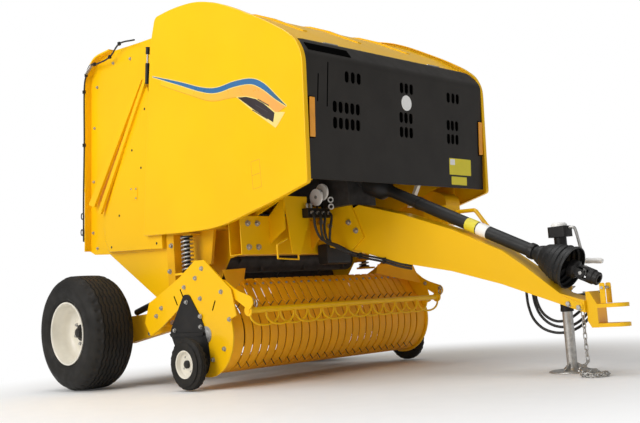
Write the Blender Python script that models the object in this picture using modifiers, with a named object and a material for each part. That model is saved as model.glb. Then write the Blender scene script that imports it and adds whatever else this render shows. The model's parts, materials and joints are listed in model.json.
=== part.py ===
"""Round baler with a drawbar, as separate solids in metres.

+X runs forward to the hitch, +Y to the machine's left, +Z up from the floor.
Lengths along X are given from the wheel axle.  One empty, "machine", moves the
whole model so that its box is centred on the origin, standing on z = 0.
"""
import math

import bmesh
import bpy
from mathutils import Matrix, Vector

# ---------------------------------------------------------------- driving sizes
OVERALL_WIDTH = 2.50          # over the two main tyres
TYRE_RADIUS = 0.3935          # 31-inch flotation tyre
TYRE_WIDTH = 0.34
RIM_RADIUS = 0.212
BODY_HALF_WIDTH = 0.88        # outer face of the side shields
CHAMBER_HALF_WIDTH = 0.61     # 1.22 m wide bale
HITCH_FRONT = 3.48            # tip of the clevis, from the axle
GAP = 0.0003                  # between solids that touch
JOIN = 0.002                  # how deep welded parts of one piece run into each other
RUNNING = 0.006               # between pieces that swing past each other
SHEET = 0.006                 # body sheet, with its paint and folds
PLATE = 0.010                 # frame plates
ROUND_STEPS = 32              # sides of a large turned piece

# shields and panels
SHIELD_DEPTH = 0.030
SHIELD_HINGE = (0.930, 2.477)
HINGE_INSET = 0.035           # from the outer face of a shield to its hinge line
HINGE_RADIUS = 0.009
KNUCKLES = ((0.800, 0.880), (1.000, 1.080))
SHIELD_OUTLINE = [(0.460, 1.018), (1.009, 0.990), (1.282, 0.989), (1.786, 1.085),
                  (2.092, 1.157), (2.120, 1.890), (2.075, 1.985), (1.990, 2.060),
                  (1.816, 2.171), (1.510, 2.340), (1.371, 2.405), (1.170, 2.470),
                  (0.930, 2.492), (0.723, 2.485), (0.655, 2.308), (0.612, 2.040)]
FRONT_PROFILE = [(2.066, 1.183), (2.118, 1.903), (2.040, 2.012)]
FRONT_HINGE = (1.985, 2.030)
TOP_PROFILE = [(FRONT_HINGE[0] - 0.0128, FRONT_HINGE[1] - 0.003), (1.800, 2.150),
               (1.500, 2.312), (1.350, 2.378), (1.150, 2.436), (0.930, 2.455), (0.800, 2.440)]

# tailgate
TAILGATE_PIVOT = (0.745, 2.300)
PIVOT_RADIUS = 0.028
TAILGATE_OUTER = BODY_HALF_WIDTH - SHIELD_DEPTH - RUNNING     # outer face of its raised field
TAILGATE_RECESS = 0.040
TAILGATE_OUTLINE = [(0.630, 0.910), (0.630, 1.150), (0.560, 2.040), (0.560, 2.265),
                    (0.700, 2.250), (0.790, 2.250), (0.790, 2.350),
                    (0.720, 2.385), (0.585, 2.390), (0.424, 2.398), (0.166, 2.415), (-0.078, 2.432),
                    (-0.115, 2.385), (-0.229, 2.326), (-0.263, 2.272), (-0.328, 1.673),
                    (-0.399, 1.002), (-0.289, 0.955), (-0.123, 0.943)]
# raised field of the tailgate side: (foot, crest) of its sloping edge
RAISED_SLOPE = [((0.470, 2.165), (0.535, 2.035)), ((0.241, 2.132), (0.430, 1.960)),
                ((0.205, 2.075), (0.395, 1.900)), ((0.044, 1.688), (0.225, 1.640)),
                ((-0.138, 1.309), (0.030, 1.330)), ((-0.178, 1.166), (-0.070, 1.150)),
                ((-0.150, 1.052), (-0.070, 1.040)), ((-0.100, 0.955), (-0.030, 0.955))]
RAISED_FRONT = [(0.622, 0.920), (0.622, 1.150), (0.556, 2.010)]
LOWER_PANEL = [(-0.130, 0.960), (0.560, 0.535), (0.625, 0.535), (0.625, 0.960)]
REAR_PROFILE = [(0.560, 2.368), (-0.070, 2.400), (-0.205, 2.325), (-0.235, 2.262),
                (-0.300, 1.673), (-0.368, 1.012), (-0.270, 0.975)]

# chamber
WALL_REAR = [(0.755, 2.420), (0.755, 2.345), (0.712, 2.240), (0.705, 1.700), (0.640, 0.620)]
TAILGATE_WALL_FRONT = [(0.560, 0.600), (0.620, 0.680), (0.680, 1.700), (0.690, 2.235),
                       (0.640, 2.325)]
FRONT_BELT = [(1.150, 1.160), (1.400, 1.400), (1.760, 1.560), (1.800, 1.900),
              (1.450, 2.200), (1.120, 2.300), (0.800, 2.290)]
TAILGATE_BELT = [(0.640, 2.235), (-0.020, 2.280), (-0.150, 2.180), (-0.250, 1.100),
                 (-0.100, 0.965), (0.380, 0.740)]
BELT_THICKNESS = 0.010
ROLLS = {"floor_roll": (0.725, 0.690, 0.070), "starter_roll": (1.040, 1.030, 0.085)}
TAILGATE_ROLL = (0.500, 0.700, 0.075)
ROTOR = (0.930, 0.800, 0.105)
ROTOR_DRUM = 0.080
ROTOR_STARS = 6
STAR_POINTS = 4
ROLL_SHAFT = 0.020

# chassis
AXLE_TUBE = 0.10
SPINDLE_RADIUS = 0.030
AXLE_Z = TYRE_RADIUS
SIDE_RAIL_Z = 1.000
SIDE_FRAME_Y = 0.790
BRACKET_X = 1.500              # front face of the hose bracket
BRACKET_Y = (-0.519, -0.316)
BRACKET_TOP = 1.170
TWINE_DISC_RADIUS = 0.056
TWINE_DISCS = ((1.528, -0.255, 1.165), (1.528, -0.200, 1.200))
CROSSBEAM = ((1.225, 0.812), (1.345, 1.060))
TONGUE_HALF_WIDTH = 0.070
TONGUE_OUTLINE = [(1.545, 0.838), (2.049, 0.690),
                  (2.427, 0.612), (2.768, 0.513), (3.135, 0.378), (3.270, 0.330),
                  (3.270, 0.395), (3.130, 0.440), (2.930, 0.600), (2.790, 0.700),
                  (2.455, 0.855), (2.080, 0.992), (1.725, 1.095), (1.614, 1.062)]
TONGUE_ROOT = (1.050, 0.884)   # heights of its rear end
GEARBOX_Z = 1.100
DRIVE_REAR = (1.800, 1.227)
DRIVE_FRONT = (3.330, 0.499)
GUARD_RADIUS = 0.038
SHAFT_RADIUS = 0.024
JACK_X = 3.030
JACK_Y = 0.162
JACK_RADIUS = 0.036
JACK_LEG_RADIUS = 0.029
JACK_TOP = 0.800
JACK_TUBE_END = 0.335
JACK_FOOT_RADIUS = 0.130

# hoses and chain
HOSE_RADIUS = 0.008
HOSE_CLAMP_OUT = 0.285
HOSE_CLAMPS = (("hose_clamp_rear", (2.715, 2.815), (0.500, 0.560)),
               ("hose_clamp_front", (3.0755, 3.190), (0.392, 0.430)))
HOSE_ROUTES = (
    [(2.738, 0.225, 0.4997), (2.737, 0.226, 0.430), (2.742, 0.228, 0.370), (2.764, 0.232, 0.300),
     (2.815, 0.238, 0.244), (2.890, 0.242, 0.216), (2.970, 0.244, 0.216), (3.050, 0.242, 0.242),
     (3.115, 0.238, 0.288), (3.148, 0.234, 0.326), (3.156, 0.232, 0.354),
     (3.156, 0.232, 0.3915)],
    [(2.765, 0.250, 0.4997), (2.765, 0.251, 0.430), (2.773, 0.254, 0.375), (2.796, 0.258, 0.320),
     (2.842, 0.262, 0.272), (2.905, 0.265, 0.247), (2.975, 0.266, 0.247), (3.040, 0.265, 0.272),
     (3.094, 0.262, 0.312), (3.118, 0.260, 0.338), (3.123, 0.259, 0.356),
     (3.123, 0.259, 0.3915)],
    [(2.793, 0.228, 0.4997), (2.794, 0.228, 0.440), (2.804, 0.229, 0.385), (2.828, 0.230, 0.335),
     (2.866, 0.232, 0.300), (2.915, 0.234, 0.280), (2.970, 0.234, 0.282), (3.022, 0.233, 0.302),
     (3.064, 0.231, 0.327), (3.085, 0.230, 0.344), (3.090, 0.230, 0.358),
     (3.090, 0.230, 0.3915)])
CHAIN_RADIUS = 0.012
CHAIN_ROUTE = [(3.228, -0.020, 0.3400), (3.229, -0.021, 0.280), (3.230, -0.023, 0.200),
               (3.232, -0.026, 0.120), (3.236, -0.030, 0.0453)]
CHAIN_HEAP = (0.090, 0.045)    # radius and height
CHAIN_HEAP_PLACE = (3.290, -0.075, 0.0)

# pickup
PICKUP_PIVOT = (0.600, 0.430)
REEL = (1.160, 0.335)
BAND_RADIUS = 0.245
BAND_COUNT = 26
BAND_WIDTH = 0.050
BAND_START = (1.195, 0.669)    # rear end, which swings up in front of the rotor
PICKUP_HALF_WIDTH = 0.920
TINE_RADIUS = 0.280
TINE_THICKNESS = 0.007
TINE_ROWS = 4
REEL_TUBE = 0.090
REEL_SHAFT = 0.025
GAUGE_WHEEL = (1.108, 0.164, 0.158)
GAUGE_WHEEL_Y = (1.000, 1.077)
GAUGE_AXLE_RADIUS = 0.014
GUARD_PIVOT = (1.330, 0.640)
GUARD_BAR = (1.541, 0.465)
SPRING = (0.900, 0.845, 0.042, 0.735, 0.975)

# tailgate cylinder
CYLINDER_Y = 0.748
CYLINDER_BASE = (0.530, 1.200)
CYLINDER_EYE = (0.615, 2.300)
BARREL_RADIUS = 0.034
ROD_RADIUS = 0.020
BARREL_TOP = 0.84             # from the base pin to the gland

# ---------------------------------------------------------------- derived places
REAR_MOST = min(x for x, _ in TAILGATE_OUTLINE)
MIDDLE_X = (HITCH_FRONT + REAR_MOST) / 2
WHEEL_Y = (OVERALL_WIDTH - TYRE_WIDTH) / 2
INNER_WIDTH = CHAMBER_HALF_WIDTH - RUNNING
COVER_HALF_WIDTH = BODY_HALF_WIDTH - SHIELD_DEPTH - RUNNING
HINGE_Y = BODY_HALF_WIDTH - HINGE_INSET
TAILGATE_PLATE_OUT = TAILGATE_OUTER - TAILGATE_RECESS
TAILGATE_PLATE_IN = TAILGATE_PLATE_OUT - PLATE
TONGUE_ROOT_X = CROSSBEAM[1][0] + GAP
BAND_PITCH = 2 * (PICKUP_HALF_WIDTH - 0.030) / BAND_COUNT

FLAT = Matrix.Rotation(math.pi / 2, 4, "X")     # lays a plate's outline in X and Y

YELLOW = ((0.973, 0.600, 0.006), 0.38, 0.0)
DARK = ((0.030, 0.027, 0.025), 0.45, 0.0)
BLACK = ((0.012, 0.012, 0.012), 0.5, 0.0)
RUBBER = ((0.020, 0.020, 0.021), 0.85, 0.0)
CREAM = ((0.80, 0.77, 0.70), 0.45, 0.0)
ZINC = ((0.55, 0.55, 0.56), 0.35, 1.0)
STEEL = ((0.40, 0.40, 0.41), 0.4, 1.0)
BELT = ((0.03, 0.03, 0.03), 0.8, 0.0)


# ---------------------------------------------------------------- helpers
def clear_scene():
    for obj in list(bpy.data.objects):
        bpy.data.objects.remove(obj, do_unlink=True)


def make_collection(name):
    collection = bpy.data.collections.new(name)
    bpy.context.scene.collection.children.link(collection)
    return collection


def link(obj):
    COLLECTION.objects.link(obj)
    return obj


def paint(obj, name, look):
    colour, roughness, metallic = look
    material = bpy.data.materials.get(name) or bpy.data.materials.new(name)
    material.use_nodes = True
    shader = material.node_tree.nodes["Principled BSDF"]
    shader.inputs["Base Color"].default_value = (*colour, 1.0)
    shader.inputs["Roughness"].default_value = roughness
    shader.inputs["Metallic"].default_value = metallic
    material.diffuse_color = (*colour, 1.0)
    obj.data.materials.clear()
    obj.data.materials.append(material)
    return obj


def baked(obj):
    """The object's evaluated shape as a plain mesh object in the same place."""
    bpy.context.view_layer.update()
    graph = bpy.context.evaluated_depsgraph_get()
    mesh = bpy.data.meshes.new_from_object(obj.evaluated_get(graph))
    weld(mesh)
    result = link(bpy.data.objects.new(obj.name, mesh))
    result.matrix_world = obj.matrix_world.copy()
    bpy.data.objects.remove(obj, do_unlink=True)
    return result


def weld(mesh):
    work = bmesh.new()
    work.from_mesh(mesh)
    bmesh.ops.remove_doubles(work, verts=work.verts, dist=0.00001)
    work.to_mesh(mesh)
    work.free()


def plate(outline, y_from, y_to):
    """A flat plate with an outline in X and Z, between two values of Y."""
    curve = bpy.data.curves.new("plate", "CURVE")
    curve.dimensions = "2D"
    curve.fill_mode = "BOTH"
    curve.extrude = abs(y_to - y_from) / 2
    spline = curve.splines.new("POLY")
    spline.points.add(len(outline) - 1)
    for point, (x, z) in zip(spline.points, outline):
        point.co = (x, z, 0.0, 1.0)
    spline.use_cyclic_u = True
    obj = link(bpy.data.objects.new("plate", curve))
    obj.location = (0.0, (y_from + y_to) / 2, 0.0)
    obj.rotation_euler = (math.pi / 2, 0.0, 0.0)
    return baked(obj)


def flat(outline, z_from, z_to):
    """A flat plate with an outline in X and Y, between two heights."""
    obj = plate(outline, z_from, z_to)
    obj.rotation_euler = (0.0, 0.0, 0.0)
    obj.location = (0.0, 0.0, (z_from + z_to) / 2)
    return obj


def box(low, high):
    bpy.ops.mesh.primitive_cube_add(size=1.0)
    obj = bpy.context.active_object
    move_to_collection(obj)
    centre = (Vector(low) + Vector(high)) / 2
    size = Vector(high) - Vector(low)
    obj.data.transform(Matrix.Diagonal((*size, 1.0)))
    obj.location = centre
    return obj


def move_to_collection(obj):
    for owner in list(obj.users_collection):
        owner.objects.unlink(obj)
    COLLECTION.objects.link(obj)


def rod(start, end, radius, steps=20):
    """A straight cylinder between two points."""
    start, end = Vector(start), Vector(end)
    bpy.ops.mesh.primitive_cylinder_add(vertices=steps, radius=radius,
                                        depth=(end - start).length)
    obj = bpy.context.active_object
    move_to_collection(obj)
    obj.location = (start + end) / 2
    obj.rotation_euler = (end - start).to_track_quat("Z", "Y").to_euler()
    return obj


def turned(profile, origin, direction, steps=ROUND_STEPS):
    """A turned solid; the profile is (radius, height), outer side top to bottom."""
    mesh = bpy.data.meshes.new("turned")
    points = [(radius, 0.0, height) for radius, height in profile]
    closed = profile[0][0] > 0 and profile[-1][0] > 0
    edges = [(i, i + 1) for i in range(len(points) - 1)]
    if closed:
        edges.append((len(points) - 1, 0))
    mesh.from_pydata(points, edges, [])
    obj = link(bpy.data.objects.new("turned", mesh))
    screw = obj.modifiers.new("turn", "SCREW")
    screw.steps = steps
    screw.render_steps = steps
    screw.use_merge_vertices = True
    screw.merge_threshold = 0.00001
    obj.location = origin
    obj.rotation_euler = Vector(direction).to_track_quat("Z", "Y").to_euler()
    return baked(obj)


def tube(points, radius, resolution=2, closed=False):
    """A round bar along a list of points."""
    curve = bpy.data.curves.new("tube", "CURVE")
    curve.dimensions = "3D"
    curve.bevel_depth = radius
    curve.bevel_resolution = resolution
    curve.use_fill_caps = not closed
    spline = curve.splines.new("POLY")
    spline.points.add(len(points) - 1)
    for point, place in zip(spline.points, points):
        point.co = (*place, 1.0)
    spline.use_cyclic_u = closed
    return baked(link(bpy.data.objects.new("tube", curve)))


def combine(base, others, operation="UNION"):
    """Boolean of a base with other solids, baked into one mesh."""
    for other in others:
        modifier = base.modifiers.new(operation.lower(), "BOOLEAN")
        modifier.operation = operation
        modifier.solver = "EXACT"
        modifier.object = other
        other.display_type = "WIRE"
        other.hide_render = True
    result = baked(base)
    for other in others:
        bpy.data.objects.remove(other, do_unlink=True)
    return result


def offset_path(path, distance):
    """The path moved sideways to its left by a distance, with mitred corners."""
    moved = []
    for i, (x, z) in enumerate(path):
        before = Vector(path[max(i - 1, 0)])
        after = Vector(path[min(i + 1, len(path) - 1)])
        here = Vector((x, z))
        first = (here - before).normalized() if i > 0 else (after - here).normalized()
        last = (after - here).normalized() if i < len(path) - 1 else first
        normal_a = Vector((-first.y, first.x))
        normal_b = Vector((-last.y, last.x))
        mitre = (normal_a + normal_b).normalized()
        reach = distance / max(mitre.dot(normal_a), 0.3)
        moved.append((x + mitre.x * reach, z + mitre.y * reach))
    return moved


def folded_sheet(path, thickness, half_width):
    """A sheet folded along Y, following a path in X and Z."""
    inner = offset_path(path, thickness)
    return plate(list(path) + inner[::-1], -half_width, half_width)


def arc(centre, radius, start, end, count):
    """Points on an arc in X and Z; the angles are in degrees."""
    points = []
    for i in range(count + 1):
        angle = math.radians(start + (end - start) * i / count)
        points.append((centre[0] + radius * math.cos(angle),
                       centre[1] + radius * math.sin(angle)))
    return points


def inset(outline, distance):
    """A closed outline shrunk by a distance."""
    count = len(outline)
    area = sum(outline[i][0] * outline[(i + 1) % count][1]
               - outline[(i + 1) % count][0] * outline[i][1] for i in range(count))
    side = 1.0 if area > 0 else -1.0
    result = []
    for i in range(count):
        before = Vector(outline[i - 1])
        here = Vector(outline[i])
        after = Vector(outline[(i + 1) % count])
        first = (here - before).normalized()
        last = (after - here).normalized()
        normal_a = Vector((-first.y, first.x)) * side
        normal_b = Vector((-last.y, last.x)) * side
        mitre = (normal_a + normal_b).normalized()
        reach = distance / max(mitre.dot(normal_a), 0.4)
        result.append(tuple(here + mitre * reach))
    return result


def span(side, low, high):
    """The two values of Y of a piece on one side: side is -1 right, +1 left."""
    return sorted((side * low, side * high))


def finish(obj, name, look, pivot="machine"):
    """Names a piece, gives it its material and hangs it on its pivot."""
    obj.name = name
    obj.data.name = name
    paint(obj, name + "_finish", look)
    if len(obj.data.polygons) > 60:
        obj.data.shade_smooth()
        obj.data.set_sharp_from_angle(angle=math.radians(35))
    holder = PIVOTS[pivot]
    obj.parent = holder
    obj.matrix_parent_inverse = Matrix.Translation(-PLACES[pivot])
    return obj


def add_pivot(name, place, parent="machine"):
    """An empty on a joint's axis; the place is given from the axle."""
    empty = link(bpy.data.objects.new(name, None))
    empty.empty_display_size = 0.1
    PLACES[name] = Vector(place)
    PIVOTS[name] = empty
    empty.parent = PIVOTS[parent]
    empty.location = PLACES[name] - PLACES[parent]


def side_name(side):
    return "left" if side > 0 else "right"


# ---------------------------------------------------------------- wheels
def tyre_profile(radius, rim, width):
    half = width / 2
    shoulder = radius - 0.035
    return [(rim, half * 0.82), (rim + 0.03, half * 0.98), ((rim + shoulder) / 2, half),
            (shoulder, half * 0.93), (radius - 0.004, half * 0.70), (radius, half * 0.35),
            (radius, -half * 0.35), (radius - 0.004, -half * 0.70),
            (shoulder, -half * 0.93), ((rim + shoulder) / 2, -half),
            (rim + 0.03, -half * 0.98), (rim, -half * 0.82)]


def rim_profile(rim, half, dish):
    """A dished disc wheel; height grows towards the outside of the machine."""
    edge = rim - GAP
    return [(edge, half * 0.80), (edge, -half * 0.80), (edge - 0.02, -half * 0.80),
            (edge - 0.03, dish - 0.012), (0.085, dish - 0.012), (0.075, dish - 0.060),
            (SPINDLE_RADIUS + 0.0006, dish - 0.060), (SPINDLE_RADIUS + 0.0006, dish + 0.020),
            (0.001, dish + 0.020), (0.001, dish + 0.045), (0.055, dish + 0.045),
            (0.070, dish), (edge - 0.04, dish), (edge - 0.02, half * 0.80)]


def build_main_wheel(side):
    centre = (0.0, side * WHEEL_Y, TYRE_RADIUS)
    outward = (0.0, side, 0.0)
    pivot = f"wheel_axle_{side_name(side)}"
    add_pivot(pivot, centre)
    tyre = turned(tyre_profile(TYRE_RADIUS, RIM_RADIUS, TYRE_WIDTH), centre, outward, 32)
    finish(tyre, f"tyre_{side_name(side)}", RUBBER, pivot)
    rim = turned(rim_profile(RIM_RADIUS, TYRE_WIDTH / 2, 0.030), centre, outward, 32)
    finish(rim, f"wheel_{side_name(side)}", CREAM, pivot)


def build_gauge_wheel(side):
    x, z, radius = GAUGE_WHEEL
    low, high = GAUGE_WHEEL_Y
    half = (high - low) / 2
    centre = (x, side * (low + high) / 2, z)
    pivot = f"gauge_wheel_axle_{side_name(side)}"
    add_pivot(pivot, centre, "pickup_pivot")
    bore = GAUGE_AXLE_RADIUS + 0.0006
    profile = [(radius - 0.012, half), (radius, half * 0.5), (radius, -half * 0.5),
               (radius - 0.012, -half), (0.085, -half), (0.075, -0.010), (bore, -0.010),
               (bore, 0.008), (0.001, 0.008), (0.001, 0.022), (0.030, 0.022),
               (0.075, 0.010), (0.085, half)]
    wheel = turned(profile, centre, (0.0, side, 0.0), 24)
    finish(wheel, f"gauge_wheel_{side_name(side)}", RUBBER, pivot)


# ---------------------------------------------------------------- chassis
def build_axle_frame():
    """Axle tube, side arms and posts, in one welded piece."""
    half = AXLE_TUBE / 2
    beam = box((-half, -SIDE_FRAME_Y - 0.060, AXLE_Z - half),
               (half, SIDE_FRAME_Y + 0.060, AXLE_Z + half))
    parts = []
    for side in (-1, 1):
        parts.append(rod((0.0, side * (SIDE_FRAME_Y - 0.05), AXLE_Z),
                         (0.0, side * (WHEEL_Y + 0.030 + 0.015), AXLE_Z), SPINDLE_RADIUS))
        parts.append(rod((0.0, side * (SIDE_FRAME_Y - 0.05), AXLE_Z),
                         (0.0, side * (WHEEL_Y - 0.034), AXLE_Z), 0.055))
        arm = [(-0.090, 0.300), (0.120, 0.290), (0.640, 0.370), (0.720, 0.370),
               (0.720, SIDE_RAIL_Z - GAP), (0.640, SIDE_RAIL_Z - GAP), (0.640, 0.500), (0.140, 0.480),
               (-0.090, 0.480)]
        parts.append(plate(arm, *span(side, SIDE_FRAME_Y - 0.030, SIDE_FRAME_Y + 0.030)))
        x, z = PICKUP_PIVOT
        parts.append(rod((x, side * SIDE_FRAME_Y, z),
                         (x, side * (PICKUP_HALF_WIDTH - GAP), z), 0.035, 20))
    frame = combine(beam, parts)
    finish(frame, "axle_frame", YELLOW)


def front_wall_outline():
    """The fixed chamber wall: over the crossbeam, up to the top cover and down the split."""
    (_, z0), (x1, z1) = CROSSBEAM
    x0 = CROSSBEAM[0][0] - GAP
    front = [(0.900, 0.620), (0.960, 0.700), (1.050, z0), (x0, z0 + 0.02), (x0, z1 + GAP), (x1, z1 + GAP),
             (1.900, 1.230), (1.930, 1.990)]
    return front + offset_path(TOP_PROFILE, GAP) + WALL_REAR


def build_side_frames():
    """Plates that join the chamber walls to the posts, on each side."""
    for side in (-1, 1):
        wall = plate(front_wall_outline(),
                     *span(side, CHAMBER_HALF_WIDTH, CHAMBER_HALF_WIDTH + SHEET))
        x, z = TAILGATE_PIVOT
        reach = TAILGATE_PLATE_IN - GAP
        boss = rod((x, side * (CHAMBER_HALF_WIDTH + 0.001), z), (x, side * reach, z),
                   PIVOT_RADIUS, 20)
        wall = combine(wall, [boss])
        finish(wall, f"chamber_wall_{side_name(side)}", YELLOW)
        low = CHAMBER_HALF_WIDTH + SHEET + GAP
        inner = SIDE_FRAME_Y - 0.030 - GAP
        upright = [(0.750, 0.760), (1.030, 0.780), (1.080, 1.000), (1.200, 1.120),
                   (0.750, 1.120)]
        post = plate(upright, *span(side, inner - 0.020, inner))
        outrigger = box((0.650, min(span(side, low, SIDE_FRAME_Y + 0.03)), SIDE_RAIL_Z),
                        (1.180, max(span(side, low, SIDE_FRAME_Y + 0.03)), 1.080))
        x, y, radius, _, top = SPRING
        hanger = span(side, inner - 0.010, y - 0.002)
        hook = box((x - radius, hanger[0], top + GAP), (x + radius, hanger[1], top + 0.012))
        tail = box((0.480, min(span(side, CYLINDER_Y - 0.075, CYLINDER_Y - 0.058)), 1.140),
                   (0.800, max(span(side, CYLINDER_Y - 0.075, CYLINDER_Y - 0.058)), 1.260))
        pin = rod((CYLINDER_BASE[0], side * (CYLINDER_Y - 0.070), CYLINDER_BASE[1]),
                  (CYLINDER_BASE[0], side * (CYLINDER_Y + 0.024), CYLINDER_BASE[1]), 0.016, 16)
        upper = box((0.740, min(span(side, low, inner - 0.001)), 1.070),
                    (0.800, max(span(side, low, inner - 0.001)), 1.250))
        frame = combine(outrigger, [post, upper, tail, pin, hook])
        finish(frame, f"side_frame_{side_name(side)}", YELLOW)


def build_front_frame():
    (x0, z0), (x1, z1) = CROSSBEAM
    inner = SIDE_FRAME_Y - 0.030
    beam = box((x0, -inner, z0), (x1, inner, z1))
    hollow = box((x0 + 0.008, -inner - 0.01, z0 + 0.008), (x1 - 0.008, inner + 0.01, z1 - 0.008))
    beam = combine(beam, [hollow], "DIFFERENCE")
    finish(beam, "front_crossbeam", YELLOW)


def facing(outline, x_from, x_to):
    """A flat plate with an outline in Y and Z, between two values of X."""
    obj = plate(outline, x_from, x_to)
    obj.location = ((x_from + x_to) / 2, 0.0, 0.0)
    obj.rotation_euler = (math.pi / 2, 0.0, math.pi / 2)
    return obj


def build_hose_bracket():
    """Tapered front plate on two side flanges, with a square wire loop at its foot."""
    right, left = BRACKET_Y
    low_right, low_left = right + 0.050, left - 0.085
    front = BRACKET_X - 0.008
    face = facing([(right, BRACKET_TOP), (low_right, 0.800), (low_left, 0.797),
                   (left, 1.000), (left, BRACKET_TOP)], front, BRACKET_X)
    flange = [(TONGUE_ROOT_X, 0.880), (front + JOIN, 0.960), (front + JOIN, BRACKET_TOP),
              (TONGUE_ROOT_X, 1.055)]
    flanges = [plate(flange, right, right + 0.008), plate(flange, left - 0.008, left)]
    wire = 0.007
    behind = front - wire + JOIN
    loop = tube([(behind, right + 0.020, 0.900), (behind, right - 0.070, 0.860),
                 (behind, right - 0.070, 0.775), (behind, low_left - 0.010, 0.766),
                 (behind, low_left - 0.010, 0.820)], wire)
    finish(combine(face, flanges + [loop]), "hose_bracket", YELLOW)


def build_twine_guides():
    """Valve block on the bracket, with two twine discs on short posts."""
    back = BRACKET_X + GAP
    block = box((back, BRACKET_Y[1] - 0.050, 1.030), (back + 0.055, BRACKET_Y[1] + 0.150, 1.090))
    parts = []
    for x, y, z in TWINE_DISCS:
        parts.append(rod((x, y - 0.007, z), (x, y + 0.007, z), TWINE_DISC_RADIUS, 20))
        parts.append(box((x - 0.008, y - 0.005, 1.080), (x + 0.008, y + 0.005, z)))
    finish(combine(block, parts), "twine_guides", BLACK)


def build_tongue():
    root = [(TONGUE_ROOT_X, z) for z in TONGUE_ROOT]
    beam = plate(root + TONGUE_OUTLINE, -TONGUE_HALF_WIDTH, TONGUE_HALF_WIDTH)
    root = [(TONGUE_ROOT_X, 0.870), (1.640, 0.800), (1.760, 0.880), (1.670, GEARBOX_Z - GAP),
            (1.450, GEARBOX_Z - GAP), (TONGUE_ROOT_X, 1.056)]
    cheeks = [plate(root, *span(side, TONGUE_HALF_WIDTH - 0.002, TONGUE_HALF_WIDTH + 0.014))
              for side in (-1, 1)]
    tongue = combine(beam, cheeks)
    finish(tongue, "tongue", YELLOW)


def build_hitch():
    """Clevis: a heel block with an upper and a lower ear."""
    half = 0.050
    heel_from = 3.270 + GAP
    heel = plate([(heel_from, 0.285), (heel_from + 0.020, 0.250), (3.330, 0.250),
                  (3.330, 0.372), (heel_from + 0.020, 0.440), (heel_from, 0.440)], -half, half)
    ears = []
    nose = arc((HITCH_FRONT - half + 0.001, 0.0), half - 0.001, -90, 90, 12)
    prong = [(3.300, -half + 0.001), *nose, (3.300, half - 0.001)]
    for low in (0.2505, 0.3515):
        ears.append(flat(prong, low, low + 0.020))
    clevis = combine(heel, ears)
    holes = [rod((HITCH_FRONT - half, 0, 0.2), (HITCH_FRONT - half, 0, 0.5), 0.018)]
    clevis = combine(clevis, holes, "DIFFERENCE")
    finish(clevis, "hitch_clevis", YELLOW)


def build_gearbox():
    block = box((1.440, -0.130, GEARBOX_Z), (1.700, 0.130, 1.330))
    direction = (Vector((DRIVE_FRONT[0], 0, DRIVE_FRONT[1]))
                 - Vector((DRIVE_REAR[0], 0, DRIVE_REAR[1]))).normalized()
    start = Vector((DRIVE_REAR[0], 0, DRIVE_REAR[1]))
    stub = rod(start - direction * 0.20, start - direction * 0.03, 0.050)
    gearbox = combine(block, [stub])
    finish(gearbox, "gearbox", DARK)


def build_driveline():
    rear = Vector((DRIVE_REAR[0], 0.0, DRIVE_REAR[1]))
    front = Vector((DRIVE_FRONT[0], 0.0, DRIVE_FRONT[1]))
    length = (front - rear).length
    bell_end = length - 0.165
    bell_start = bell_end - 0.215
    bore = SHAFT_RADIUS + 0.0006
    profile = [(0.120, bell_end), (0.112, bell_end - 0.090), (0.085, bell_start + 0.040),
               (GUARD_RADIUS + 0.012, bell_start), (GUARD_RADIUS, bell_start - 0.020),
               (GUARD_RADIUS, 0.130), (0.075, 0.110), (0.080, -0.020 - GAP), (0.072, -0.020 - GAP),
               (0.066, 0.100), (bore, 0.120), (bore, bell_start + 0.010),
               (0.076, bell_start + 0.045), (0.104, bell_end - 0.090), (0.112, bell_end)]
    direction = (front - rear).normalized()
    guard = turned(profile, rear, direction, 28)
    finish(guard, "driveline_guard", BLACK)
    add_pivot("driveline_axis", rear, "machine")
    joint = [(0.030, length), (0.042, length - 0.020), (0.042, length - 0.120),
             (0.052, length - 0.130), (0.052, length - 0.175), (SHAFT_RADIUS, length - 0.200),
             (SHAFT_RADIUS, 0.090), (0.045, 0.080), (0.045, -0.030 + GAP), (0.000, -0.030 + GAP)]
    joint.insert(0, (0.0, length))
    shaft = turned(joint, rear, direction, 24)
    finish(shaft, "driveline_shaft", STEEL, "driveline_axis")


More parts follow.
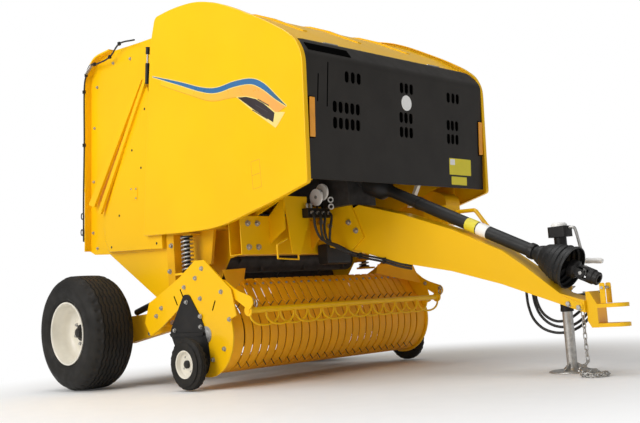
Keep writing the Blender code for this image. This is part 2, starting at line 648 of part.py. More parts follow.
def build_jack():
    bore = JACK_LEG_RADIUS + 0.0006
    outer = rod((JACK_X, JACK_Y, JACK_TUBE_END), (JACK_X, JACK_Y, JACK_TOP), JACK_RADIUS, 24)
    head = box((JACK_X - 0.055, JACK_Y - 0.045, JACK_TOP - 0.045),
               (JACK_X + 0.060, JACK_Y + 0.045, JACK_TOP + 0.034))
    crank = tube([(JACK_X + 0.050, JACK_Y, JACK_TOP), (JACK_X + 0.085, JACK_Y, JACK_TOP),
                  (JACK_X + 0.100, JACK_Y + 0.010, JACK_TOP - 0.030),
                  (JACK_X + 0.110, JACK_Y + 0.040, JACK_TOP - 0.190)], 0.009)
    knob = rod((JACK_X + 0.100, JACK_Y + 0.042, JACK_TOP - 0.190),
               (JACK_X + 0.225, JACK_Y + 0.042, JACK_TOP - 0.200), 0.016, 16)
    bracket = box((JACK_X - 0.045, TONGUE_HALF_WIDTH + GAP, 0.400),
                  (JACK_X + 0.045, JACK_Y, 0.480))
    room = rod((JACK_X, JACK_Y, 0.3), (JACK_X, JACK_Y, JACK_TOP - 0.060), bore, 24)
    body = combine(outer, [head, crank, knob, bracket])
    body = combine(body, [room], "DIFFERENCE")
    finish(body, "jack_tube", BLACK)
    add_pivot("jack_leg_slide", (JACK_X, JACK_Y, 0.0))
    leg_profile = [(0.0, JACK_TUBE_END + 0.180), (JACK_LEG_RADIUS, JACK_TUBE_END + 0.180),
                   (JACK_LEG_RADIUS, 0.012), (JACK_FOOT_RADIUS, 0.010),
                   (JACK_FOOT_RADIUS, 0.0), (0.0, 0.0)]
    leg = turned(leg_profile, (JACK_X, JACK_Y, 0.0), (0, 0, 1), 24)
    finish(leg, "jack_leg", ZINC, "jack_leg_slide")


def smooth_path(points, spacing):
    """Evenly spaced points on a smooth curve through the given ones."""
    knots = [Vector(p) for p in points]
    knots = [2 * knots[0] - knots[1]] + knots + [2 * knots[-1] - knots[-2]]
    fine = []
    for a, b, c, d in zip(knots, knots[1:], knots[2:], knots[3:]):
        for k in range(40):
            t = k / 40
            fine.append(0.5 * (2 * b + (c - a) * t + (2 * a - 5 * b + 4 * c - d) * t ** 2
                               + (3 * b - a - 3 * c + d) * t ** 3))
    fine.append(knots[-2])
    total = sum((q - p).length for p, q in zip(fine, fine[1:]))
    step = total / round(total / spacing)
    result, gone = [fine[0]], 0.0
    for p, q in zip(fine, fine[1:]):
        gone += (q - p).length
        if gone >= step * len(result) - 1e-6:
            result.append(q)
    return result


def build_hoses():
    """Three hydraulic hoses in a loop left of the tongue, between two clamp blocks."""
    inner = TONGUE_HALF_WIDTH + GAP
    for name, (x_from, x_to), (z_from, z_to) in HOSE_CLAMPS:
        clamp = box((x_from, inner, z_from), (x_to, HOSE_CLAMP_OUT, z_to))
        finish(clamp, name, BLACK)
    for number, route in enumerate(HOSE_ROUTES, 1):
        hose = tube(smooth_path(route, 4 * HOSE_RADIUS), HOSE_RADIUS)
        finish(hose, f"hydraulic_hose_{number}", BLACK)


def build_chain():
    """Safety chain: its hanging stretch, and its heap on the floor."""
    hanging = tube(smooth_path(CHAIN_ROUTE, 0.030), CHAIN_RADIUS)
    finish(hanging, "safety_chain", ZINC)
    radius, height = CHAIN_HEAP
    heap = turned([(0.0, height), (radius * 0.75, height), (radius, height * 0.4), (radius, 0.0),
                   (0.0, 0.0)], CHAIN_HEAP_PLACE, (0, 0, 1), 20)
    finish(heap, "safety_chain_heap", ZINC)


def build_driveline_rest():
    """Bracket on the tongue's left side with a bent bar that holds the parked driveline."""
    inner = TONGUE_HALF_WIDTH + GAP
    foot = box((2.130, inner, 0.860), (2.290, 0.130, 0.920))
    block = box((2.120, 0.100, 0.905), (2.300, 0.240, 1.025))
    bar = tube([(2.290, 0.200, 0.985), (2.435, 0.200, 0.980), (2.450, 0.200, 0.970),
                (2.562, 0.195, 0.820)], 0.013, 3)
    knob = rod((2.555, 0.195, 0.812), (2.600, 0.195, 0.800), 0.012, 12)
    finish(combine(foot, [block, bar, knob]), "driveline_rest", YELLOW)


def build_top_cover():
    cover = folded_sheet(TOP_PROFILE, -SHEET, COVER_HALF_WIDTH)
    y, z = HINGE_Y, SHIELD_HINGE[1]
    lugs = []
    for side in (-1, 1):
        low, high = span(side, y - 0.045, y + 0.004)
        for start, end in ((KNUCKLES[0][1] + GAP, KNUCKLES[0][1] + 0.04),
                           (KNUCKLES[1][0] - 0.04, KNUCKLES[1][0] - GAP)):
            lugs.append(box((start, low, TOP_PROFILE[-2][1] - 0.004), (end, high, z + 0.001)))
    cover = combine(cover, lugs)
    finish(cover, "top_cover", YELLOW)


def chamber_roll(x, z, radius):
    """A roll across the chamber, with a stub shaft to each wall."""
    reach = CHAMBER_HALF_WIDTH - GAP
    drum = rod((x, -INNER_WIDTH, z), (x, INNER_WIDTH, z), radius, 24)
    return combine(drum, [rod((x, -reach, z), (x, reach, z), ROLL_SHAFT, 12)])


def build_rolls():
    for name, (x, z, radius) in ROLLS.items():
        finish(chamber_roll(x, z, radius), name, DARK)
    belt = folded_sheet(FRONT_BELT, BELT_THICKNESS, CHAMBER_HALF_WIDTH - GAP)
    finish(belt, "front_belts", BELT)


def build_rotor():
    x, z, radius = ROTOR
    add_pivot("rotor_axis", (x, 0.0, z))
    drum = chamber_roll(x, z, ROTOR_DRUM)
    stars = []
    for i in range(ROTOR_STARS):
        y = -INNER_WIDTH + (i + 0.5) * 2 * INNER_WIDTH / ROTOR_STARS
        outline = []
        for k in range(2 * STAR_POINTS):
            reach = radius if k % 2 == 0 else ROTOR_DRUM - 0.010
            angle = math.pi * (k + i % 2) / STAR_POINTS
            outline.append((x + reach * math.cos(angle), z + reach * math.sin(angle)))
        stars.append(plate(outline, y - 0.006, y + 0.006))
    rotor = combine(drum, stars)
    finish(rotor, "feed_rotor", DARK, "rotor_axis")


# ---------------------------------------------------------------- shields
def build_side_shield(side):
    pivot = f"shield_hinge_{side_name(side)}"
    x, z = SHIELD_HINGE
    add_pivot(pivot, (x, side * HINGE_Y, z))
    skin = BODY_HALF_WIDTH - SHEET
    shell = plate(SHIELD_OUTLINE, *span(side, BODY_HALF_WIDTH - SHIELD_DEPTH, BODY_HALF_WIDTH))
    hollow = plate(inset(SHIELD_OUTLINE, SHEET), *span(side, skin - 0.1, skin))
    shell = combine(shell, [hollow], "DIFFERENCE")
    knuckles = [rod((low, side * HINGE_Y, z), (high, side * HINGE_Y, z), HINGE_RADIUS, 12)
                for low, high in KNUCKLES]
    shell = combine(shell, knuckles)
    finish(shell, f"side_shield_{side_name(side)}", YELLOW, pivot)


def build_front_shield():
    x, z = FRONT_HINGE
    add_pivot("front_shield_hinge", (x, 0.0, z))
    panel = folded_sheet(FRONT_PROFILE + [FRONT_HINGE], SHEET,
                         COVER_HALF_WIDTH)
    knuckles = [rod((x, y - 0.06, z), (x, y + 0.06, z), HINGE_RADIUS, 12) for y in (-0.5, 0.5)]
    panel = combine(panel, knuckles)
    finish(panel, "front_shield", DARK, "front_shield_hinge")


# ---------------------------------------------------------------- tailgate
def raised_field(side):
    """The raised front field of a tailgate side, with a wide sloping edge."""
    crest = [pair[1] for pair in RAISED_SLOPE] + RAISED_FRONT
    foot = [pair[0] for pair in RAISED_SLOPE] + RAISED_FRONT
    work = bmesh.new()
    top = [work.verts.new((x, side * TAILGATE_OUTER, z)) for x, z in crest]
    low = [work.verts.new((x, side * (TAILGATE_PLATE_OUT - JOIN), z)) for x, z in foot]
    work.faces.new(top)
    work.faces.new(low[::-1])
    for i in range(len(top)):
        j = (i + 1) % len(top)
        work.faces.new((top[i], low[i], low[j], top[j]))
    bmesh.ops.recalc_face_normals(work, faces=work.faces)
    mesh = bpy.data.meshes.new("raised")
    work.to_mesh(mesh)
    work.free()
    return link(bpy.data.objects.new("raised", mesh))


def mirrored(obj):
    """A second solid, mirrored across the machine's middle plane."""
    mesh = obj.data.copy()
    twin = link(bpy.data.objects.new("twin", mesh))
    mesh.transform(Matrix.Diagonal((1.0, -1.0, 1.0, 1.0)) @ obj.matrix_world)
    mesh.flip_normals()
    return twin


def tailgate_side():
    """The right tailgate side: plate, raised field and the cylinder's boss."""
    panel = plate(TAILGATE_OUTLINE, *span(-1, TAILGATE_PLATE_IN, TAILGATE_PLATE_OUT))
    lower = plate(LOWER_PANEL, *span(-1, TAILGATE_PLATE_IN - SHEET, TAILGATE_PLATE_IN + JOIN))
    x, z = CYLINDER_EYE
    boss = rod((x, -CYLINDER_Y - 0.020 - GAP, z), (x, -TAILGATE_PLATE_IN - JOIN, z), 0.026, 20)
    return combine(panel, [raised_field(-1), lower, boss])


def build_tailgate():
    add_pivot("tailgate_pivot", (TAILGATE_PIVOT[0], 0.0, TAILGATE_PIVOT[1]))
    right_panel = tailgate_side()
    left_panel = mirrored(right_panel)
    for side in (-1, 1):
        panel = right_panel if side < 0 else left_panel
        finish(panel, f"tailgate_panel_{side_name(side)}", YELLOW, "tailgate_pivot")
        rear = offset_path(REAR_PROFILE, SHEET + GAP)
        wall = plate(TAILGATE_WALL_FRONT + rear,
                     *span(side, CHAMBER_HALF_WIDTH, CHAMBER_HALF_WIDTH + SHEET))
        finish(wall, f"tailgate_wall_{side_name(side)}", YELLOW, "tailgate_pivot")
    cover = folded_sheet(REAR_PROFILE, SHEET, TAILGATE_PLATE_IN - GAP)
    finish(cover, "tailgate_rear_cover", YELLOW, "tailgate_pivot")
    x, z, radius = TAILGATE_ROLL
    finish(chamber_roll(x, z, radius), "tailgate_roll", DARK, "tailgate_pivot")
    belt = folded_sheet(TAILGATE_BELT, BELT_THICKNESS, CHAMBER_HALF_WIDTH - GAP)
    finish(belt, "tailgate_belts", BELT, "tailgate_pivot")


def build_tailgate_cylinder(side):
    base = Vector((CYLINDER_BASE[0], side * CYLINDER_Y, CYLINDER_BASE[1]))
    eye = Vector((CYLINDER_EYE[0], side * CYLINDER_Y, CYLINDER_EYE[1]))
    direction = (eye - base).normalized()
    pivot = f"cylinder_base_{side_name(side)}"
    add_pivot(pivot, base)
    bore = ROD_RADIUS + 0.0006
    profile = [(BARREL_RADIUS, BARREL_TOP), (BARREL_RADIUS, 0.040), (0.0, 0.040),
               (0.0, 0.060), (bore, 0.060), (bore, BARREL_TOP)]
    barrel = turned(profile, base, direction, 20)
    lug = rod(base - Vector((0, 0.020, 0)), base + Vector((0, 0.020, 0)), 0.045, 20)
    barrel = combine(barrel, [lug])
    hole = rod(base - Vector((0, 0.1, 0)), base + Vector((0, 0.1, 0)), 0.0165, 20)
    barrel = combine(barrel, [hole], "DIFFERENCE")
    finish(barrel, f"cylinder_barrel_{side_name(side)}", BLACK, pivot)
    slide = f"cylinder_slide_{side_name(side)}"
    add_pivot(slide, eye, pivot)
    piston = rod(base + direction * 0.30, eye, ROD_RADIUS, 20)
    knuckle = rod(eye - Vector((0, 0.020, 0)), eye + Vector((0, 0.020, 0)), 0.032, 20)
    piston = combine(piston, [knuckle])
    finish(piston, f"cylinder_rod_{side_name(side)}", ZINC, slide)


# ---------------------------------------------------------------- pickup
def band_path():
    """Outer line of one stripper band, from the throat to below the reel."""
    start = [BAND_START, (1.250, 0.625)]
    bend = arc(REEL, BAND_RADIUS, 52, -96, 7)
    return start + bend + [(1.020, 0.100), (0.915, 0.140)]


def build_pickup():
    add_pivot("pickup_pivot", (PICKUP_PIVOT[0], 0.0, PICKUP_PIVOT[1]))
    build_bands()
    build_reel()
    for side in (-1, 1):
        build_pickup_plate(side)
        build_gauge_arm(side)
        build_spring(side)


def build_bands():
    path = band_path()
    inner = offset_path(path, -0.005)
    strips = []
    for i in range(BAND_COUNT):
        y = (i + 0.5 - BAND_COUNT / 2) * BAND_PITCH
        strips.append(plate(path + inner[::-1], y - BAND_WIDTH / 2, y + BAND_WIDTH / 2))
    width = PICKUP_HALF_WIDTH - GAP
    x, z = BAND_START
    top = box((x + 0.002, -width, z - 0.039), (x + 0.018, width, z - 0.017))
    low = box((0.890, -width, 0.115), (0.925, width, 0.170))
    bands = combine(top, strips + [low])
    finish(bands, "pickup_bands", YELLOW, "pickup_pivot")


def comb_outline(count, pitch, root, tip, thickness):
    """A row of straight tines on a common strip, seen flat: (along, out)."""
    outline = [(-count * pitch / 2, root - 0.030)]
    for i in range(count):
        along = (i - (count - 1) / 2) * pitch
        outline += [(along - thickness / 2, root), (along - thickness / 2, tip),
                    (along + thickness / 2, tip), (along + thickness / 2, root)]
    return outline + [(count * pitch / 2, root - 0.030)]


def build_reel():
    """Tine reel: a tube with four rows of tines that pass between the bands."""
    width = PICKUP_HALF_WIDTH - 0.012
    add_pivot("reel_axis", (REEL[0], 0.0, REEL[1]), "pickup_pivot")
    reach = PICKUP_HALF_WIDTH - GAP
    tube_part = rod((REEL[0], -width, REEL[1]), (REEL[0], width, REEL[1]), REEL_TUBE, 20)
    stub = rod((REEL[0], -reach, REEL[1]), (REEL[0], reach, REEL[1]), REEL_SHAFT, 12)
    tube_part = combine(tube_part, [stub])
    rows = []
    for k in range(TINE_ROWS):
        comb = comb_outline(BAND_COUNT // 2, 2 * BAND_PITCH, REEL_TUBE + 0.005, TINE_RADIUS,
                            TINE_THICKNESS)
        row = plate(comb, -TINE_THICKNESS / 2, TINE_THICKNESS / 2)
        angle = math.radians(360 / TINE_ROWS * k + 40)
        along = Vector((0, 1, 0))
        out = Vector((math.cos(angle), 0, math.sin(angle)))
        frame = Matrix((along, out, along.cross(out))).transposed().to_4x4()
        row.matrix_world = Matrix.Translation((REEL[0], 0, REEL[1])) @ frame @ FLAT
        rows.append(row)
    reel = combine(tube_part, rows)
    finish(reel, "pickup_reel", STEEL, "reel_axis")


def pickup_plate_outline():
    lower = arc(REEL, 0.262, 20, -100, 8)
    return ([(1.173, 0.797), (1.420, 0.600), (1.460, 0.440)] + lower
            + [(1.060, 0.330), (0.990, 0.560), (0.700, 0.400), (0.560, 0.340),
               (0.500, 0.430), (0.560, 0.560), (0.760, 0.640), (0.924, 0.712),
               (1.080, 0.800)])


def build_pickup_plate(side):
    outer = PICKUP_HALF_WIDTH + PLATE
    panel = plate(pickup_plate_outline(), *span(side, PICKUP_HALF_WIDTH, outer))
    x, z = GUARD_PIVOT
    boss = rod((x, side * (PICKUP_HALF_WIDTH - RUNNING + GAP), z),
               (x, side * (PICKUP_HALF_WIDTH + 0.002), z), 0.018, 16)
    sx, sy, radius, low, _ = SPRING
    lug = span(side, sy - radius, PICKUP_HALF_WIDTH + 0.002)
    seat = box((sx - radius, lug[0], low - 0.014), (sx + radius, lug[1], low - GAP))
    panel = combine(panel, [boss, seat])
    finish(panel, f"pickup_side_{side_name(side)}", YELLOW, "pickup_pivot")


def build_gauge_arm(side):
    inner = PICKUP_HALF_WIDTH + PLATE + GAP
    outline = [(1.000, 0.590), (0.960, 0.590), (0.790, 0.360), (0.840, 0.260),
               (1.060, 0.090), (1.150, 0.090), (1.190, 0.170), (1.165, 0.380)]
    arm = plate(outline, *span(side, inner, inner + 0.008))
    x, z, _ = GAUGE_WHEEL
    low, high = GAUGE_WHEEL_Y
    stub = rod((x, side * (inner + 0.002), z), (x, side * ((low + high) / 2 + 0.004), z),
               GAUGE_AXLE_RADIUS, 16)
    arm = combine(arm, [stub])
    finish(arm, f"gauge_wheel_arm_{side_name(side)}", BLACK, "pickup_pivot")


def build_spring(side):
    x, y, radius, low, high = SPRING
    profile = [(radius, high), (radius, low), (radius - 0.012, low), (radius - 0.012, high)]
    spring = turned(profile, (x, side * y, 0.0), (0, 0, 1), 20)
    finish(spring, f"float_spring_{side_name(side)}", BLACK)


def build_wind_guard():
    add_pivot("wind_guard_pivot", (GUARD_PIVOT[0], 0.0, GUARD_PIVOT[1]), "pickup_pivot")
    width = PICKUP_HALF_WIDTH - RUNNING
    bar = rod((GUARD_BAR[0], -width + 0.004, GUARD_BAR[1]),
              (GUARD_BAR[0], width - 0.004, GUARD_BAR[1]), 0.018, 16)
    outline = [(1.300, 0.660), (1.350, 0.665), (1.500, 0.590), (1.610, 0.560),
               (1.600, 0.500), (1.560, 0.430), (1.500, 0.440), (1.400, 0.560),
               (1.310, 0.610)]
    arms = [plate(outline, *span(side, width - 0.008, width)) for side in (-1, 1)]
    guard = combine(bar, arms)
    finish(guard, "wind_guard", YELLOW, "wind_guard_pivot")


# ---------------------------------------------------------------- the machine
COLLECTION = None
PIVOTS = {}
PLACES = {}


def main():
    global COLLECTION
    clear_scene()
    COLLECTION = make_collection("round_baler")
    machine = link(bpy.data.objects.new("machine", None))
    machine.location = (-MIDDLE_X, 0.0, 0.0)
    PIVOTS["machine"] = machine
    PLACES["machine"] = Vector((0.0, 0.0, 0.0))
    build_axle_frame()
    build_side_frames()
    build_front_frame()
    build_hose_bracket()
    build_twine_guides()
    build_tongue()
    build_hitch()
    build_gearbox()
    build_driveline()
    build_jack()
    build_hoses()
    build_chain()
    build_driveline_rest()
    build_top_cover()
    build_rolls()
    build_rotor()
    build_front_shield()
    build_tailgate()
    build_pickup()
    build_wind_guard()
    for side in (-1, 1):
        build_main_wheel(side)
        build_side_shield(side)
        build_tailgate_cylinder(side)
        build_gauge_wheel(side)


main()
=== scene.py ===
"""Looks of a towed round baler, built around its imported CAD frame.

Lengths are in metres.  Places along X are given from the wheel axle, which AXLE_X puts in
the frame; +X runs forward to the hitch, +Y to the machine's left, +Z up from the floor.
"""
import json
import math

import bmesh
import bpy
from mathutils import Matrix, Vector


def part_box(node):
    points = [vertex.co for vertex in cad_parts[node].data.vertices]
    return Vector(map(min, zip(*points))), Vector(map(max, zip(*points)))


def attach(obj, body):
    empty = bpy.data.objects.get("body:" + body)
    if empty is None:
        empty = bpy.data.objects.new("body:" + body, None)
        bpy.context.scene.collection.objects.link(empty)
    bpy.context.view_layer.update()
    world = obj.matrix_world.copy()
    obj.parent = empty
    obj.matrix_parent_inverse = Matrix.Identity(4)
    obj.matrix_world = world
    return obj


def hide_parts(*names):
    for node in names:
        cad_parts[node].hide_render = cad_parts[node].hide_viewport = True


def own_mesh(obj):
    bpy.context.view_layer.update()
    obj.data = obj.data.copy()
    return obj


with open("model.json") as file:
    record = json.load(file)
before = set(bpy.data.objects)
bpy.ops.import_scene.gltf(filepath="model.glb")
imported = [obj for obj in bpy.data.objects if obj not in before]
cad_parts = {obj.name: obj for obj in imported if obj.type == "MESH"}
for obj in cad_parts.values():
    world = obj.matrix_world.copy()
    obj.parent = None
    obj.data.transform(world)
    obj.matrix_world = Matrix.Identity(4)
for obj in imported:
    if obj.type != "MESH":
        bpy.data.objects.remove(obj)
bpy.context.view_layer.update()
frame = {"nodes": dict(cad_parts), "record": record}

# ---------------------------------------------------------------- sizes from the frame
TYRE_LOW, TYRE_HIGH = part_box("tyre_right")
AXLE_X = (TYRE_LOW.x + TYRE_HIGH.x) / 2
TYRE_RADIUS = (TYRE_HIGH.z - TYRE_LOW.z) / 2
TYRE_WIDTH = TYRE_HIGH.y - TYRE_LOW.y
WHEEL_Y = -(TYRE_LOW.y + TYRE_HIGH.y) / 2
BODY_Y = -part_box("side_shield_right")[0].y          # outer face of the side shields
SHIELD_DEPTH = 0.030
COVER_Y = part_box("top_cover")[1].y                  # half width of the top and front covers
GATE_Y = -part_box("tailgate_panel_right")[0].y       # outer face of the tailgate's raised field
GATE_PLATE_Y = GATE_Y - 0.040
MAIN_TREAD = {"rim": 0.212, "steps": 288, "ribs": 7, "wave": 0.0045, "depth": 0.007, "teeth": 36}
GAUGE_TREAD = {"rim": 0.084, "steps": 96, "ribs": 3, "wave": 0.003, "depth": 0.003, "teeth": 24}
GAUGE_TYRE_WIDTH = 0.076
PICKUP_Y = 0.920                                    # inner face of the pickup's end plates
PLATE = 0.010

# ---------------------------------------------------------------- outlines in X and Z
# a third value is the corner's rounding
SHIELD_OUTLINE = [(0.460, 1.018, 0.020), (1.009, 0.990, 0.150), (1.282, 0.989, 0.150),
                  (1.786, 1.085, 0.120), (2.092, 1.157, 0.020), (2.120, 1.890, 0.060),
                  (2.075, 1.985, 0.040), (1.990, 2.060, 0.050), (1.816, 2.171, 0.090),
                  (1.510, 2.340, 0.070), (1.371, 2.405, 0.070), (1.170, 2.470, 0.100),
                  (0.930, 2.492, 0.100), (0.723, 2.485, 0.035), (0.655, 2.308, 0.080),
                  (0.612, 2.040, 0.120)]
SHIELD_HINGE = (0.845, 2.477)                       # its Y and Z
FRONT_FOOT, FRONT_FOLD, FRONT_TOP = (2.066, 1.183), (2.118, 1.903), (2.040, 2.012)
FRONT_HINGE = (1.985, 2.030)
# stripe on the shields: centre line and half width
STRIPE = [(0.665, 2.086, 0.0020), (0.958, 1.974, 0.0105), (1.190, 1.882, 0.0140),
          (1.342, 1.845, 0.0165), (1.515, 1.846, 0.0170), (1.670, 1.828, 0.0170),
          (1.776, 1.775, 0.0175), (1.878, 1.688, 0.0110), (1.966, 1.616, 0.0008)]
STRIPE_FOOT = [(0.753, 2.007), (1.049, 1.880), (1.276, 1.790), (1.476, 1.767), (1.619, 1.745),
               (1.771, 1.673), (1.861, 1.600), (1.955, 1.612)]
VENT = [(1.539, 1.757), (1.619, 1.744), (1.701, 1.714), (1.771, 1.672), (1.861, 1.598),
        (1.844, 1.545), (1.694, 1.644)]
VENT_EDGE = [(1.525, 1.764), (1.620, 1.749), (1.703, 1.719), (1.775, 1.677), (1.866, 1.603),
             (1.950, 1.585), (1.892, 1.532), (1.861, 1.509), (1.685, 1.636)]

# ---------------------------------------------------------------- pickup
PIVOT = (0.600, 0.430)
REEL = (1.160, 0.335)
BAND_RADIUS = 0.245
BAND_COUNT = 26
BAND_PITCH = 2 * (PICKUP_Y - 0.030) / BAND_COUNT
BAND_WIDTH = 0.0600
BAND_START = (1.195, 0.669)
TINE_TIP = 0.278
GUARD_BAR = (1.541, 0.465)
SPRING = (0.900, 0.845, 0.735, 0.975)               # x, y, foot and head
GAUGE_WHEEL = (1.108, 1.0385, 0.164, 0.158)         # x, y, z and radius

# ---------------------------------------------------------------- tongue and driveline
TONGUE_Y = 0.070
DRIVE_REAR = Vector((1.800, 0.0, 1.227))
DRIVE_FRONT = Vector((3.330, 0.0, 0.499))
DRIVE_LENGTH = (DRIVE_FRONT - DRIVE_REAR).length
DRIVE_LINE = (DRIVE_FRONT - DRIVE_REAR).normalized()
JACK = (3.030, 0.162)
JACK_TOP = 0.800

# ---------------------------------------------------------------- cords
HOSE_DIAMETER = 0.016
HOSES = {
    "hydraulic_hose_1": [
        (2.738, 0.225, 0.4997), (2.737, 0.226, 0.430), (2.742, 0.228, 0.370),
        (2.764, 0.232, 0.300), (2.815, 0.238, 0.244), (2.890, 0.242, 0.216),
        (2.970, 0.244, 0.216), (3.050, 0.242, 0.242), (3.115, 0.238, 0.288),
        (3.148, 0.234, 0.326), (3.156, 0.232, 0.354), (3.156, 0.232, 0.3915)],
    "hydraulic_hose_2": [
        (2.765, 0.250, 0.4997), (2.765, 0.251, 0.430), (2.773, 0.254, 0.375),
        (2.796, 0.258, 0.320), (2.842, 0.262, 0.272), (2.905, 0.265, 0.247),
        (2.975, 0.266, 0.247), (3.040, 0.265, 0.272), (3.094, 0.262, 0.312),
        (3.118, 0.260, 0.338), (3.123, 0.259, 0.356), (3.123, 0.259, 0.3915)],
    "hydraulic_hose_3": [
        (2.793, 0.228, 0.4997), (2.794, 0.228, 0.440), (2.804, 0.229, 0.385),
        (2.828, 0.230, 0.335), (2.866, 0.232, 0.300), (2.915, 0.234, 0.280),
        (2.970, 0.234, 0.282), (3.022, 0.233, 0.302), (3.064, 0.231, 0.327),
        (3.085, 0.230, 0.344), (3.090, 0.230, 0.358), (3.090, 0.230, 0.3915)]}
CHAIN_DIAMETER = 0.024
CHAIN_PITCH = 0.030
CHAIN_WIRE = 0.0035
CHAIN = [(3.228, -0.020, 0.3400), (3.229, -0.021, 0.280), (3.230, -0.023, 0.200),
         (3.232, -0.026, 0.120), (3.236, -0.030, 0.0600)]
CHAIN_HEAP = (3.290, -0.075)

# ---------------------------------------------------------------- camera and studio
CAMERA_PLACE = (4.2015, -4.464, 0.473)
CAMERA_TURN = (0.783, -0.100, -0.071)               # yaw, pitch and roll in radians
CAMERA_LENS, CAMERA_SENSOR = 51.78, 36.0            # both in millimetres
WHITE = (1.0, 1.0, 1.0)
AMBIENT = 0.27                                      # strength of the studio's even light
KEY_LIGHT = {"place": (-0.5, -8.0, 4.5), "target": (0.0, 0.0, 0.9), "size": 5.0,
             "energy": 410.0, "colour": (1.0, 0.98, 0.95)}
TOP_LIGHT = {"place": (-1.0, -1.0, 9.0), "target": (0.0, 0.0, 0.0), "size": 7.0,
             "energy": 420.0, "colour": WHITE}
FLOOR_REACH = 60.0
FLOOR_FADE = (1.6, 3.6)                             # the floor turns white between these

UP = Vector((0.0, 0.0, 1.0))
FRAME_SHIFT = Vector((AXLE_X, 0.0, 0.0))


# ---------------------------------------------------------------- lines and outlines
def smooth(points, steps=8):
    """Points on a smooth curve through the given ones."""
    knots = [Vector(p) for p in points]
    knots = [2 * knots[0] - knots[1]] + knots + [2 * knots[-1] - knots[-2]]
    result = []
    for a, b, c, d in zip(knots, knots[1:], knots[2:], knots[3:]):
        for k in range(steps):
            t = k / steps
            result.append(0.5 * (2 * b + (c - a) * t + (2 * a - 5 * b + 4 * c - d) * t ** 2
                                 + (3 * b - a - 3 * c + d) * t ** 3))
    return result + [knots[-2]]


def length_of(points):
    return sum((q - p).length for p, q in zip(points, points[1:]))


def spaced(points, spacing):
    """The line through the points, cut into equal steps of about that spacing."""
    total = length_of(points)
    step = total / max(round(total / spacing), 1)
    result = [points[0]]
    gone = 0.0
    for p, q in zip(points, points[1:]):
        reach = (q - p).length
        while gone + reach >= step * len(result) - 1e-7:
            result.append(p.lerp(q, min((step * len(result) - gone) / reach, 1.0)))
        gone += reach
    return result


def rounded(outline, steps=5):
    """The outline with its corners rounded by their third value."""
    result = []
    for i, (u, v, radius) in enumerate(outline):
        here = Vector((u, v))
        before = Vector(outline[i - 1][:2]) - here
        after = Vector(outline[(i + 1) % len(outline)][:2]) - here
        start = here + before.normalized() * min(radius, 0.45 * before.length)
        end = here + after.normalized() * min(radius, 0.45 * after.length)
        for k in range(steps + 1):
            t = k / steps
            result.append(start * (1 - t) ** 2 + here * 2 * t * (1 - t) + end * t * t)
    return result


def softened(outline, radius):
    return rounded([(u, v, radius) for u, v in outline])


def arc(centre, radius, start, end, count):
    """Points on an arc; the angles are in degrees."""
    result = []
    for i in range(count + 1):
        angle = math.radians(start + (end - start) * i / count)
        result.append((centre[0] + radius * math.cos(angle), centre[1] + radius * math.sin(angle)))
    return result


def capsule(u, v, width, height, steps=6):
    """An upright slot with round ends."""
    half = width / 2
    rise = height / 2 - half
    return arc((u, v + rise), half, 0, 180, steps) + arc((u, v - rise), half, 180, 360, steps)


def ribbon(route, spread=0.0):
    """Outline of a tapered band along a route of (x, z, half width)."""
    line = smooth(route, 6)
    upper, lower = [], []
    for before, here, after in zip([line[0]] + line, line, line[1:] + [line[-1]]):
        along = (after - before).xy.normalized()
        across = Vector((-along.y, along.x)) * (here.z + spread)
        upper.append(here.xy + across)
        lower.append(here.xy - across)
    return upper + lower[::-1]


